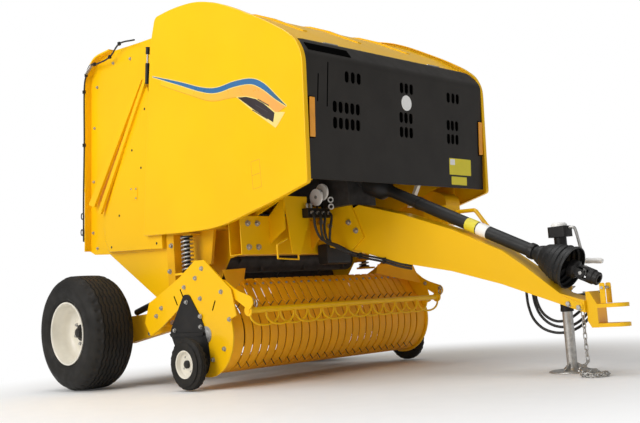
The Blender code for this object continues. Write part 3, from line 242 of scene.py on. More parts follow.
# ---------------------------------------------------------------- shapes
class Shape:
    """A mesh put together from simple forms, each with one of its piece's materials."""

    def __init__(self):
        self.verts = []
        self.faces = []
        self.looks = []

    def add(self, verts, faces, look=0):
        first = len(self.verts)
        self.verts.extend(Vector(v) for v in verts)
        self.faces.extend([first + i for i in face] for face in faces)
        self.looks.extend([look] * len(faces))

    def loft(self, rings, look=0, closed=False, caps=(True, True)):
        """A skin over rings that have the same number of points."""
        count = len(rings[0])
        verts = [point for ring in rings for point in ring]
        faces = []
        for i in range(len(rings) if closed else len(rings) - 1):
            a = i * count
            b = (i + 1) % len(rings) * count
            for k in range(count):
                n = (k + 1) % count
                faces.append((a + k, a + n, b + n, b + k))
        if caps[0] and not closed:
            faces.append(range(count))
        if caps[1] and not closed:
            faces.append(range(len(verts) - count, len(verts)))
        self.add(verts, faces, look)

    def plate(self, outline, start, end, axis="Y", look=0, caps=(True, True)):
        """An outline drawn out along one axis."""
        order = {"X": (2, 0, 1), "Y": (0, 2, 1), "Z": (0, 1, 2)}[axis]
        rings = []
        for level in (start, end):
            corners = [(u, v, level) for u, v in outline]
            rings.append([[corner[i] for i in order] for corner in corners])
        self.loft(rings, look, caps=caps)

    def box(self, low, high, look=0):
        (x0, y0, z0), (x1, y1, z1) = low, high
        self.plate([(x0, y0), (x1, y0), (x1, y1), (x0, y1)], z0, z1, "Z", look)

    def turned(self, profile, origin, direction, steps=32, look=0, closed=False):
        """(radius, height) pairs turned about a line."""
        turn = Vector(direction).to_track_quat("Z", "Y").to_matrix()
        rings = []
        for radius, height in profile:
            ring = arc((0.0, 0.0), max(radius, 0.0003), 0, 360 - 360 / steps, steps - 1)
            rings.append([Vector(origin) + turn @ Vector((u, v, height)) for u, v in ring])
        self.loft(rings, look, closed)

    def rod(self, start, end, radius, look=0, steps=20, tip=None):
        along = Vector(end) - Vector(start)
        profile = [(radius, 0.0), (radius if tip is None else tip, along.length)]
        self.turned(profile, start, along, steps, look)

    def tube(self, points, radius, look=0, sides=10, closed=False):
        """A round bar along a line."""
        points = [Vector(p) for p in points]
        last = len(points) - 1
        side = None
        rings = []
        for i, here in enumerate(points):
            before = points[i - 1] if i or closed else here
            after = points[(i + 1) % len(points)] if i < last or closed else here
            along = (after - before).normalized()
            side = along.orthogonal() if side is None else side
            side = (side - along * side.dot(along)).normalized()
            up = along.cross(side)
            rings.append([here + side * u + up * v
                          for u, v in arc((0, 0), radius, 0, 360 - 360 / sides, sides - 1)])
        self.loft(rings, look, closed)

    def bolt(self, place, direction, size=0.018, look=0):
        """A hexagon head of that width, on a washer."""
        washer = [(0.75 * size, 0.0), (0.75 * size, 0.14 * size), (0.58 * size, 0.14 * size)]
        self.turned(washer, place, direction, 18, look)
        head = [(0.58 * size, 0.14 * size), (0.58 * size, 0.60 * size), (0.48 * size, 0.70 * size)]
        self.turned(head, place, direction, 6, look)

    def bolts(self, y, way, size, places):
        """Bolts of the second look at (x, z) places on a side face that looks to way * Y."""
        for x, z in places:
            self.bolt((x, y, z), (0, way, 0), size, 1)

    def ring(self, centre, normal, radius, wire, look=0, steps=24):
        turn = Vector(normal).to_track_quat("Z", "Y").to_matrix()
        circle = arc((0, 0), radius, 0, 360 - 360 / steps, steps - 1)
        line = [Vector(centre) + turn @ Vector((u, v, 0.0)) for u, v in circle]
        self.tube(line, wire, look, 8, closed=True)

    def mirrored(self):
        """The same shape on the machine's other side."""
        twin = Shape()
        twin.verts = [Vector((v.x, -v.y, v.z)) for v in self.verts]
        twin.faces = [list(face) for face in self.faces]
        twin.looks = list(self.looks)
        return twin


def applied(obj):
    """Makes the object's modifiers part of its mesh."""
    graph = bpy.context.evaluated_depsgraph_get()
    mesh = bpy.data.meshes.new_from_object(obj.evaluated_get(graph))
    obj.modifiers.clear()
    obj.data = mesh


def bevelled(obj, width, segments, angle=30.0):
    modifier = obj.modifiers.new("edges", "BEVEL")
    modifier.width = width
    modifier.segments = segments
    modifier.limit_method = "ANGLE"
    modifier.angle_limit = math.radians(angle)
    modifier.use_clamp_overlap = True


def cleaned(mesh, flatten=False):
    work = bmesh.new()
    work.from_mesh(mesh)
    bmesh.ops.remove_doubles(work, verts=work.verts, dist=0.00001)
    if flatten:
        bmesh.ops.dissolve_limit(work, angle_limit=math.radians(1.0), verts=work.verts,
                                 edges=work.edges)
    bmesh.ops.recalc_face_normals(work, faces=work.faces)
    work.to_mesh(mesh)
    work.free()


def placed(name, data):
    """A new object in the scene."""
    obj = bpy.data.objects.new(name, data)
    bpy.context.scene.collection.objects.link(obj)
    return obj


def shaded(obj, angle=38.0):
    """Applies the modifiers, then shades the mesh smooth up to an angle."""
    applied(obj)
    obj.data.shade_smooth()
    obj.data.set_sharp_from_angle(angle=math.radians(angle))


def evened(obj):
    """Lets the large flat faces set the normals, so that they look flat."""
    modifier = obj.modifiers.new("normals", "WEIGHTED_NORMAL")
    modifier.keep_sharp = True
    applied(obj)


def piece(name, shape, looks, body, bevel=0.0, segments=2, shell=0.0, slot=None, replaces=(),
          cut=None):
    """One object of the looks, which rides on a body of the frame.

    The slot argument is not used.
    """
    mesh = bpy.data.meshes.new(name)
    mesh.from_pydata([v + FRAME_SHIFT for v in shape.verts], [], shape.faces)
    for look in looks:
        mesh.materials.append(LOOKS[look])
    mesh.polygons.foreach_set("material_index", shape.looks)
    cleaned(mesh)
    obj = placed(name, mesh)
    if cut is not None:
        cutter = piece(name + "_cutter", cut, looks[:1], body)
        modifier = obj.modifiers.new("cut", "BOOLEAN")
        modifier.operation = "DIFFERENCE"
        modifier.solver = "EXACT"
        modifier.object = cutter
        applied(obj)
        bpy.data.objects.remove(cutter)
    if bevel:
        bevelled(obj, bevel, segments)
    if shell:
        sheet = obj.modifiers.new("sheet", "SOLIDIFY")
        sheet.thickness = shell
        sheet.offset = -1.0
    shaded(obj)
    evened(obj)
    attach(obj, body)
    slot = slot or looks[0]
    if replaces:
        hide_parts(*replaces)
    return obj


def refined(node, width=0.003, segments=2, look=None):
    """The CAD node's own shape with rounded edges, shown in its place."""
    mesh = frame["nodes"][node].data.copy()
    cleaned(mesh, flatten=True)
    obj = placed(node + "_finished", mesh)
    bevelled(obj, width, segments)
    shaded(obj)
    evened(obj)
    obj.data.materials.clear()
    obj.data.materials.append(LOOKS[look or NODE_SLOT[node]])
    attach(obj, NODE_BODY[node])
    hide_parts(node)
    return obj


# ---------------------------------------------------------------- materials
def surface(name, colour, roughness, metallic=0.0, mottle=0.05, grain=7.0, spread=0.06,
            bump=0.04, bump_grain=260.0, coat=0.0, dust=0.0, sheen=0.5, fade=None):
    """A procedural finish: mottled colour, uneven gloss and a fine surface grain."""
    material = bpy.data.materials.new(name)
    material.use_nodes = True
    tree = material.node_tree
    shader = tree.nodes["Principled BSDF"]
    place = tree.nodes.new("ShaderNodeTexCoord").outputs["Object"]

    def noise(scale, detail=4.0):
        made = tree.nodes.new("ShaderNodeTexNoise")
        made.inputs["Scale"].default_value = scale
        made.inputs["Detail"].default_value = detail
        tree.links.new(place, made.inputs["Vector"])
        return made.outputs["Fac"]

    def between(value, low, high, to_low, to_high):
        made = tree.nodes.new("ShaderNodeMapRange")
        for socket, number in zip(("From Min", "From Max", "To Min", "To Max"),
                                  (low, high, to_low, to_high)):
            made.inputs[socket].default_value = number
        tree.links.new(value, made.inputs["Value"])
        return made.outputs["Result"]

    def mixed(factor, first, second):
        made = tree.nodes.new("ShaderNodeMix")
        made.data_type = "RGBA"
        tree.links.new(factor, made.inputs["Factor"])
        for socket, value in zip(("A", "B"), (first, second)):
            port = [s for s in made.inputs if s.name == socket and s.type == "RGBA"][0]
            if isinstance(value, tuple):
                port.default_value = (*value, 1.0)
            else:
                tree.links.new(value, port)
        return [s for s in made.outputs if s.type == "RGBA"][0]

    darker = tuple(c * (1.0 - mottle) for c in colour)
    lighter = tuple(min(c * (1.0 + mottle), 1.0) for c in colour)
    tone = mixed(between(noise(grain), 0.35, 0.65, 0.0, 1.0), darker, lighter)
    axes = tree.nodes.new("ShaderNodeSeparateXYZ")
    tree.links.new(place, axes.inputs["Vector"])
    if fade:
        other, start, end = fade
        along = between(axes.outputs["X"], start + AXLE_X, end + AXLE_X, 0.0, 1.0)
        tone = mixed(along, tone, other)
    if dust:
        low = between(axes.outputs["Z"], 0.05, 0.95, dust, 0.0)
        patch = tree.nodes.new("ShaderNodeMath")
        patch.operation = "MULTIPLY"
        tree.links.new(low, patch.inputs[0])
        tree.links.new(between(noise(3.0 * grain, 8.0), 0.40, 0.70, 0.2, 1.0), patch.inputs[1])
        tone = mixed(patch.outputs["Value"], tone, DUST)
    tree.links.new(tone, shader.inputs["Base Color"])
    gloss = between(noise(2.3 * grain, 6.0), 0.3, 0.7, max(roughness - spread, 0.05),
                    min(roughness + spread, 1.0))
    tree.links.new(gloss, shader.inputs["Roughness"])
    shader.inputs["Metallic"].default_value = metallic
    shader.inputs["Specular IOR Level"].default_value = sheen
    if coat:
        shader.inputs["Coat Weight"].default_value = coat
        shader.inputs["Coat Roughness"].default_value = 0.12
    relief = tree.nodes.new("ShaderNodeBump")
    relief.inputs["Strength"].default_value = bump
    relief.inputs["Distance"].default_value = 0.002
    tree.links.new(noise(bump_grain, 3.0), relief.inputs["Height"])
    tree.links.new(relief.outputs["Normal"], shader.inputs["Normal"])
    return material


DUST = (0.42, 0.34, 0.22)
YELLOW = (0.940, 0.530, 0.002)


# colour, roughness, metal, mottle and its grain, spread of the roughness, bump and its
# grain, coat, dust, sheen
LOOK_FACTS = {
    "yellow_paint": (YELLOW, 0.34, 0.0, 0.025, 2.2, 0.05, 0.03, 260.0, 0.15, 0.02, 0.25),
    # darker, more orange copy of the yellow paint for parts low under the machine: painted shade
    "yellow_painted_shade": ((0.84, 0.43, 0.003), 0.48, 0.0, 0.07, 9.0, 0.06, 0.18, 150.0, 0.0, 0.03, 0.25),
    "dark_panel": ((0.028, 0.025, 0.022), 0.42, 0.0, 0.1, 5.0, 0.06, 0.1, 420.0, 0.0, 0.0, 0.22),
    "black_paint": ((0.012, 0.011, 0.011), 0.42, 0.0, 0.2, 7.0, 0.06, 0.05, 260.0, 0.0, 0.03, 0.3),
    "black_plastic": ((0.014, 0.014, 0.014), 0.46, 0.0, 0.15, 7.0, 0.06, 0.12, 600.0, 0.0, 0.0,
                      0.3),
    "dark_casting": ((0.045, 0.041, 0.038), 0.62, 0.3, 0.25, 20.0, 0.06, 0.35, 180.0, 0.0, 0.12,
                     0.5),
    "tyre_rubber": ((0.014, 0.013, 0.012), 0.66, 0.0, 0.22, 6.0, 0.12, 0.2, 320.0, 0.0, 0.02,
                    0.25),
    "belt_rubber": ((0.022, 0.021, 0.02), 0.8, 0.0, 0.2, 12.0, 0.06, 0.4, 220.0, 0.0, 0.0, 0.5),
    "hose_rubber": ((0.016, 0.016, 0.016), 0.5, 0.0, 0.15, 30.0, 0.06, 0.3, 700.0, 0.0, 0.0, 0.5),
    "rim_cream": ((0.8, 0.76, 0.66), 0.36, 0.0, 0.05, 8.0, 0.06, 0.04, 260.0, 0.25, 0.1, 0.5),
    "zinc": ((0.5, 0.49, 0.47), 0.44, 0.9, 0.16, 45.0, 0.14, 0.1, 260.0, 0.0, 0.0, 0.5),
    "bare_steel": ((0.4, 0.39, 0.38), 0.38, 0.9, 0.18, 25.0, 0.14, 0.12, 260.0, 0.0, 0.0, 0.5),
    # dark brown for the steel tines between the bands: painted shade
    "tine_steel_painted_shade": ((0.11, 0.07, 0.035), 0.6, 0.2, 0.25, 30.0, 0.06, 0.1, 260.0, 0.0, 0.0, 0.3),
    # dark brown for the reel behind the bands: painted shade
    "reel_painted_shade": ((0.23, 0.075, 0.015), 0.6, 0.0, 0.25, 12.0, 0.06, 0.2, 260.0, 0.0, 0.15, 0.5),
    # more orange copy of the yellow paint for the bands: painted shade
    "band_yellow_painted_shade": ((0.96, 0.44, 0.006), 0.42, 0.0, 0.05, 6.0, 0.06, 0.06, 260.0, 0.0, 0.03, 0.3),
    "bright_chrome": ((0.78, 0.78, 0.8), 0.12, 1.0, 0.04, 7.0, 0.04, 0.02, 260.0, 0.0, 0.0, 0.5),
    "stripe_blue": ((0.035, 0.15, 0.34), 0.3, 0.0, 0.04, 7.0, 0.06, 0.01, 260.0, 0.3, 0.0, 0.5),
    "stripe_pale": ((0.88, 0.7, 0.22), 0.32, 0.0, 0.03, 7.0, 0.06, 0.01, 260.0, 0.3, 0.0, 0.5),
    "stripe_orange": ((0.93, 0.56, 0.01), 0.32, 0.0, 0.03, 7.0, 0.06, 0.01, 260.0, 0.3, 0.0, 0.5),
    "stripe_line": ((0.7, 0.36, 0.02), 0.34, 0.0, 0.05, 7.0, 0.06, 0.01, 260.0, 0.0, 0.0, 0.5),
    "vent_dark": ((0.03, 0.02, 0.022), 0.4, 0.0, 0.2, 7.0, 0.06, 0.05, 260.0, 0.0, 0.0, 0.5),
    "label_yellow": ((0.8, 0.68, 0.03), 0.4, 0.0, 0.03, 7.0, 0.06, 0.02, 260.0, 0.0, 0.0, 0.5),
    "label_white": ((0.92, 0.91, 0.88), 0.4, 0.0, 0.03, 7.0, 0.06, 0.02, 260.0, 0.0, 0.0, 0.5),
    "reflector": ((0.9, 0.36, 0.02), 0.18, 0.0, 0.08, 7.0, 0.06, 0.5, 420.0, 0.6, 0.0, 0.5),
    # dead black: painted shade in slots and recesses, and the real black of small frames
    "black_and_painted_shade": ((0.003, 0.003, 0.003), 0.9, 0.0, 0.2, 7.0, 0.06, 0.04, 260.0, 0.0, 0.0, 0.0),
}
# other end of a colour that changes along X, and where the change starts and ends
LOOK_FADES = {
    "stripe_blue": ((0.060, 0.130, 0.110), 1.80, 1.97),
    "stripe_orange": ((0.930, 0.400, 0.090), 0.90, 1.85),
}


def paint_frame():
    """Every carried-over CAD node takes its slot's finish."""
    for node, obj in frame["nodes"].items():
        obj.data.materials.clear()
        obj.data.materials.append(LOOKS[NODE_SLOT[node]])


# ---------------------------------------------------------------- camera, light and floor
def add_camera():
    """Camera at the place from which the machine is seen."""
    yaw, pitch, roll = CAMERA_TURN
    ahead = Vector((-math.sin(yaw) * math.cos(pitch), math.cos(yaw) * math.cos(pitch),
                    -math.sin(pitch)))
    right = ahead.cross(UP).normalized()
    up = right.cross(ahead)
    level = math.cos(roll) * right + math.sin(roll) * up
    upward = math.cos(roll) * up - math.sin(roll) * right
    data = bpy.data.cameras.new("camera")
    data.sensor_width = CAMERA_SENSOR
    data.lens = CAMERA_LENS
    camera = placed("camera", data)
    turn = Matrix((level, upward, -ahead)).transposed().to_4x4()
    camera.matrix_world = Matrix.Translation(CAMERA_PLACE) @ turn
    bpy.context.scene.camera = camera


def add_light(name, place, target, size, energy, colour):
    data = bpy.data.lights.new(name, "AREA")
    data.size = size
    data.energy = energy
    data.color = colour
    light = placed(name, data)
    light.location = place
    light.rotation_euler = (Vector(target) - Vector(place)).to_track_quat("-Z", "Y").to_euler()


def whitened(material, start, end):
    """Turns a floor finish to plain white with the distance from the machine's middle."""
    tree = material.node_tree
    place = tree.nodes.new("ShaderNodeTexCoord").outputs["Object"]
    away = tree.nodes.new("ShaderNodeVectorMath")
    away.operation = "LENGTH"
    tree.links.new(place, away.inputs[0])
    share = tree.nodes.new("ShaderNodeMapRange")
    share.interpolation_type = "SMOOTHSTEP"
    share.inputs["From Min"].default_value = start
    share.inputs["From Max"].default_value = end
    tree.links.new(away.outputs["Value"], share.inputs["Value"])
    white = tree.nodes.new("ShaderNodeEmission")
    either = tree.nodes.new("ShaderNodeMixShader")
    tree.links.new(share.outputs["Result"], either.inputs["Fac"])
    tree.links.new(tree.nodes["Principled BSDF"].outputs["BSDF"], either.inputs[1])
    tree.links.new(white.outputs["Emission"], either.inputs[2])
    tree.links.new(either.outputs["Shader"], tree.nodes["Material Output"].inputs["Surface"])


def add_studio():
    """Even light, two large lamps, and a pale floor before a white background."""
    world = bpy.data.worlds.new("studio")
    bpy.context.scene.world = world
    world.use_nodes = True
    tree = world.node_tree
    sky = tree.nodes["Background"]
    backdrop = tree.nodes.new("ShaderNodeBackground")
    for node, strength in ((sky, AMBIENT), (backdrop, 1.0)):
        node.inputs["Color"].default_value = (*WHITE, 1.0)
        node.inputs["Strength"].default_value = strength
    seen = tree.nodes.new("ShaderNodeLightPath")
    either = tree.nodes.new("ShaderNodeMixShader")
    tree.links.new(seen.outputs["Is Camera Ray"], either.inputs["Fac"])
    tree.links.new(sky.outputs["Background"], either.inputs[1])
    tree.links.new(backdrop.outputs["Background"], either.inputs[2])
    tree.links.new(either.outputs["Shader"], tree.nodes["World Output"].inputs["Surface"])
    add_light("key", **KEY_LIGHT)
    add_light("overhead", **TOP_LIGHT)
    floor = Shape()
    floor.box((-FLOOR_REACH, -FLOOR_REACH, -0.02), (FLOOR_REACH, FLOOR_REACH, -0.0005))
    mesh = bpy.data.meshes.new("floor")
    mesh.from_pydata(floor.verts, [], floor.faces)
    cleaned(mesh)
    obj = placed("floor", mesh)
    paint = surface("floor_white", (0.90, 0.90, 0.90), 0.60, mottle=0.01, bump=0.01,
                    bump_grain=60.0)
    whitened(paint, *FLOOR_FADE)
    obj.data.materials.append(paint)
    bpy.context.scene.view_settings.view_transform = "Standard"


# ---------------------------------------------------------------- hoses and chain
def add_hoses():
    """Three free hydraulic hoses, and the crimped sleeves at their ends."""
    sleeves = Shape()
    for name, route in HOSES.items():
        line = spaced(smooth(route, 12), 0.008)
        curve = bpy.data.curves.new(name + "_curve", "CURVE")
        curve.dimensions = "3D"
        curve.bevel_depth = HOSE_DIAMETER / 2
        curve.bevel_resolution = 4
        curve.use_fill_caps = True
        spline = curve.splines.new("POLY")
        spline.points.add(len(line) - 1)
        for point, place in zip(spline.points, line):
            point.co = (*(place + FRAME_SHIFT), 1.0)
        spline.use_smooth = True
        hose = placed(name + "_finished", curve)
        curve.materials.append(LOOKS["hose_rubber"])
        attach(hose, "chassis")
        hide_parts(name)
        for end, inner in ((line[0], line[4]), (line[-1], line[-5])):
            along = (inner - end).normalized()
            profile = [(0.0105, 0.002), (0.0115, 0.004), (0.0115, 0.010), (0.0100, 0.012),
                       (0.0100, 0.015), (0.0115, 0.017), (0.0115, 0.024), (0.0092, 0.027)]
            sleeves.turned(profile, end, along, 16)
    piece("hose_sleeves", sleeves, ["zinc"], "chassis")


def chain_line():
    """The chain's line: hanging, then in turns on the floor."""
    centre = Vector((*CHAIN_HEAP, 0.0))
    start = Vector(CHAIN[-1]) - centre
    first = math.atan2(start.y, start.x)
    turns = []
    count = 60
    for k in range(1, count + 1):
        t = k / count
        angle = first + math.tau * 2.55 * t
        reach = 0.072 - 0.050 * max(t - 0.36, 0.0) / 0.64
        height = max(0.060 - 0.30 * t, 0.0125) + 0.020 * max(t - 0.62, 0.0) / 0.38
        turns.append(centre + Vector((reach * math.cos(angle), reach * math.sin(angle), height)))
    return smooth(CHAIN, 10)[:-1] + smooth([Vector(CHAIN[-1])] + turns, 4)


def add_chain():
    """Safety chain of oval links, down to its heap."""
    line = spaced(chain_line(), CHAIN_PITCH)
    links = Shape()
    half = CHAIN_DIAMETER / 2 - CHAIN_WIRE
    straight = CHAIN_PITCH / 2 + CHAIN_WIRE - half
    loop = arc((straight, 0.0), half, -90, 90, 6) + arc((-straight, 0.0), half, 90, 270, 6)
    across = Vector((0.0, 1.0, 0.0))
    for i, (start, end) in enumerate(zip(line, line[1:])):
        along = (end - start).normalized()
        across = (across - along * across.dot(along)).normalized()
        side = across if i % 2 else along.cross(across)
        middle = (start + end) / 2
        links.tube([middle + along * u + side * v for u, v in loop], CHAIN_WIRE, 0, 6, closed=True)
    chain = piece("safety_chain_links", links, ["zinc"], "chassis",
                  replaces=("safety_chain", "safety_chain_heap"))


# ---------------------------------------------------------------- wheels
def tread_grid(radius, width, steps, ribs, wave, depth, teeth):
    """Rings of a tyre with zigzag circumferential grooves and notched shoulders."""
    half = width / 2
    crown = [(half * 0.70, -0.010), (half * 0.64, -0.003)]
    groove = width * 0.105 / ribs
    for i in range(ribs):
        y = half * 0.62 * (1 - 2 * (i + 0.5) / ribs)
        crown += [(y + 1.9 * groove, 0.0), (y + groove, 0.0), (y + 0.5 * groove, -depth),
                  (y - 0.5 * groove, -depth), (y - groove, 0.0)]
    crown += [(-half * 0.64, -0.003), (-half * 0.70, -0.010)]
    rings = []
    for y, drop in crown:
        sway = min(1.0, max(0.0, (half * 0.66 - abs(y)) / (half * 0.10)))
        ring = []
        for k in range(steps):
            phase = k * teeth / steps % 1.0
            zigzag = 4 * abs(phase - 0.5) - 1
            notch = 0.006 if abs(y) > half * 0.63 and phase < 0.3 else 0.0
            reach = radius + drop - notch - 0.004 * (y / (half * 0.7)) ** 2
            ring.append((y + wave * zigzag * sway, reach, math.tau * k / steps))
        rings.append(ring)
    return rings


def tyre_shape(centre, side, radius, width, rim, steps, **tread):
    """A whole tyre, turned from its section."""
    half = width / 2
    shoulder = [(half * 0.80, radius - 0.022), (half * 0.90, radius - 0.042),
                (half * 0.965, radius - 0.070), (half * 0.995, (radius + rim) / 2 + 0.012),
                (half * 0.990, (radius + rim) / 2 - 0.020), (half * 0.955, rim + 0.040),
                (half * 0.965, rim + 0.034), (half * 0.930, rim + 0.022),
                (half * 0.860, rim + 0.012), (half * 0.845, rim + 0.001)]
    outer = [[(y, r, math.tau * k / steps) for k in range(steps)] for y, r in shoulder[::-1]]
    inner = [[(-y, r, math.tau * k / steps) for k in range(steps)] for y, r in shoulder]
    rings = []
    for ring in outer + tread_grid(radius, width, steps, **tread) + inner:
        rings.append([(centre[0] + r * math.cos(a), centre[1] + side * y,
                       centre[2] + r * math.sin(a)) for y, r, a in ring])
    shape = Shape()
    shape.loft(rings, closed=True)
    return shape


def add_main_wheel(side, name):
    """Tyre and dished rim with valve, cap and wheel bolts."""
    body = f"main_wheel_{name}"
    centre = (0.0, side * WHEEL_Y, TYRE_RADIUS)
    tyre = tyre_shape(centre, side, TYRE_RADIUS, TYRE_WIDTH, **MAIN_TREAD)
    piece(f"tyre_{name}_finished", tyre, ["tyre_rubber"], body,
          replaces=(f"tyre_{name}",))
    out = (0.0, side, 0.0)
    rim = Shape()
    half = TYRE_WIDTH / 2
    profile = [(0.2115, half * 0.84), (0.2160, half * 0.87), (0.2150, half * 0.90),
               (0.2060, half * 0.90), (0.2000, half * 0.84), (0.1980, half * 0.62),
               (0.1880, half * 0.54), (0.1840, half * 0.34), (0.1760, half * 0.20),
               (0.1640, 0.020), (0.1400, 0.012), (0.1220, 0.018), (0.1080, 0.032), (0.0900, 0.036),
               (0.0560, 0.036), (0.0560, 0.026), (0.1000, 0.024), (0.1400, 0.004),
               (0.1700, 0.006), (0.1900, 0.030), (0.1980, 0.070), (0.2060, 0.100),
               (0.2060, -half * 0.80), (0.2115, -half * 0.80)]
    rim.turned(profile, centre, out, 72, closed=True)
    rim.rod((centre[0] + 0.150, centre[1] + side * 0.012, centre[2] + 0.060),
            (centre[0] + 0.150, centre[1] + side * 0.048, centre[2] + 0.064), 0.005, 1, 10)
    cap = [(0.0550, 0.024), (0.0560, 0.044), (0.0500, 0.048), (0.0360, 0.050), (0.0340, 0.066),
           (0.0280, 0.073), (0.0003, 0.075)]
    rim.turned(cap, centre, out, 36, 2)
    for k in range(6):
        angle = math.radians(60 * k + 15)
        place = (0.0775 * math.cos(angle), side * 0.036, 0.0775 * math.sin(angle))
        rim.bolt(Vector(centre) + Vector(place), out, 0.019, 3)
    piece(f"wheel_{name}_finished", rim, ["rim_cream", "black_plastic", "black_paint", "zinc"],
          body, replaces=(f"wheel_{name}",))


def add_gauge_wheel(side, name):
    """Small tyre on its rim, with cap and bolts."""
    body = f"gauge_wheel_{name}"
    x, y, z, radius = GAUGE_WHEEL
    centre = (x, side * y, z)
    shape = tyre_shape(centre, side, radius, GAUGE_TYRE_WIDTH, **GAUGE_TREAD)
    out = (0.0, side, 0.0)
    profile = [(0.084, 0.032), (0.087, 0.034), (0.086, 0.036), (0.080, 0.035), (0.077, 0.026),
               (0.072, 0.010), (0.058, 0.003), (0.040, 0.004), (0.026, 0.008), (0.0146, 0.008),
               (0.0146, -0.010), (0.075, -0.010), (0.084, -0.032)]
    shape.turned(profile, centre, out, 48, 1, closed=True)
    cap = [(0.025, 0.007), (0.025, 0.019), (0.020, 0.024), (0.0003, 0.025)]
    shape.turned(cap, centre, out, 24, 2)
    for k in range(4):
        angle = math.radians(90 * k + 30)
        shape.bolt((x + 0.050 * math.cos(angle), side * (y + 0.0035), z + 0.050 * math.sin(angle)),
                   out, 0.010, 3)
    piece(f"gauge_wheel_{name}_finished", shape,
          ["tyre_rubber", "rim_cream", "black_paint", "zinc"], body,
          replaces=(f"gauge_wheel_{name}",))


# ---------------------------------------------------------------- shields
def add_side_shield(side, name):
    """Shield's skin, the ribs inside it, and the stripes and vent on it."""
    body = f"side_shield_{name}"
    skin = Shape()
    skin.plate(rounded(SHIELD_OUTLINE), side * BODY_Y, side * (BODY_Y - SHIELD_DEPTH),
               caps=(True, False))
    piece(f"side_shield_{name}_skin", skin, ["yellow_paint"], body, bevel=0.007, segments=3,
          shell=0.005, replaces=(f"side_shield_{name}",))
    inside = Shape()
    for x, low, high in ((0.760, 1.030, 2.440), (1.280, 1.010, 2.400), (1.780, 1.110, 2.150)):
        rib = [(x - 0.025, low), (x + 0.025, low), (x + 0.025, high - 0.03), (x - 0.025, high)]
        inside.plate(rib, side * (BODY_Y - 0.005), side * (BODY_Y - 0.022))
    hinge_y, hinge_z = SHIELD_HINGE
    for low, high in ((0.800, 0.880), (1.000, 1.080)):
        inside.rod((low, side * hinge_y, hinge_z), (high, side * hinge_y, hinge_z), 0.009, 1)
    piece(f"side_shield_{name}_ribs", inside, ["yellow_paint", "zinc"], body, bevel=0.002)
    marks = Shape()
    face = side * (BODY_Y - 0.0005)

    def sticker(outline, thickness, look):
        marks.plate(outline, face, side * (BODY_Y + thickness), "Y", look)

    low_edge = [p.xy for p in smooth([(x, z, 0.0) for x, z in STRIPE_FOOT], 5)]
    line = smooth(STRIPE, 6)
    middle = [p.xy for p in line if p.x > STRIPE_FOOT[0][0]]
    sticker(middle + low_edge[::-1], 0.0003, 2)
    sticker(ribbon([(x, z, 0.0022) for x, z in STRIPE_FOOT]), 0.0005, 3)
    sticker(ribbon(STRIPE, 0.0045), 0.0006, 1)
    sticker(ribbon(STRIPE), 0.0009, 0)
    sticker(VENT_EDGE, 0.0012, 1)
    sticker(VENT, 0.0016, 4)
    for k in (1, 2, 3):
        along = Vector((-0.17, 0.105)).normalized()
        middle_of = Vector((1.745, 1.650)) + Vector((0.012, 0.020)) * (k - 2) * 1.6
        reach = 0.095 - 0.012 * k
        ends = [middle_of - along * reach, middle_of + along * reach * 0.8]
        marks.rod((ends[0].x, side * (BODY_Y + 0.001), ends[0].y),
                  (ends[1].x, side * (BODY_Y + 0.001), ends[1].y), 0.0030, 4, 8)
    frame_line = [(1.628, 1.180, 0.0014), (1.622, 1.345, 0.0014), (1.700, 1.352, 0.0014),
                  (1.706, 1.187, 0.0014), (1.628, 1.180, 0.0014)]
    for first, second in zip(frame_line, frame_line[1:]):
        sticker(ribbon([first, second]), 0.0004, 3)
    sticker(ribbon([(1.625, 1.262, 0.0014), (1.703, 1.269, 0.0014)]), 0.0004, 3)
    piece(f"side_shield_{name}_stripes", marks,
          ["stripe_blue", "stripe_pale", "stripe_orange", "stripe_line", "vent_dark"], body)


def facet_x(z):
    """X of the front shield's lower facet at a height."""
    (x0, z0), (x1, z1) = FRONT_FOOT, FRONT_FOLD
    return x0 + (z - z0) * (x1 - x0) / (z1 - z0)


def leaning(shape):
    """Moves a flat shape drawn about X = 0 onto the front shield's lower facet."""
    for vert in shape.verts:
        vert.x += facet_x(vert.z)
    return shape


def front_slots():
    """(Y, Z) of the slots in the front shield, in groups of short rows."""
    groups = (((-0.509, -0.456, -0.404), 1.802), ((-0.005, 0.042, 0.091), 1.795),
              ((0.478, 0.531, 0.579), 1.785), ((-0.015, 0.032, 0.080), 1.607),
              ((-0.015, 0.032, 0.080), 1.515), ((0.471, 0.516, 0.563), 1.600),
              ((0.471, 0.516, 0.563), 1.508), ((-0.616, -0.567, -0.515, -0.466, -0.418), 1.615),
              ((-0.616, -0.567, -0.515, -0.466, -0.418), 1.520))
    return [(y, z) for row, z in groups for y in row]


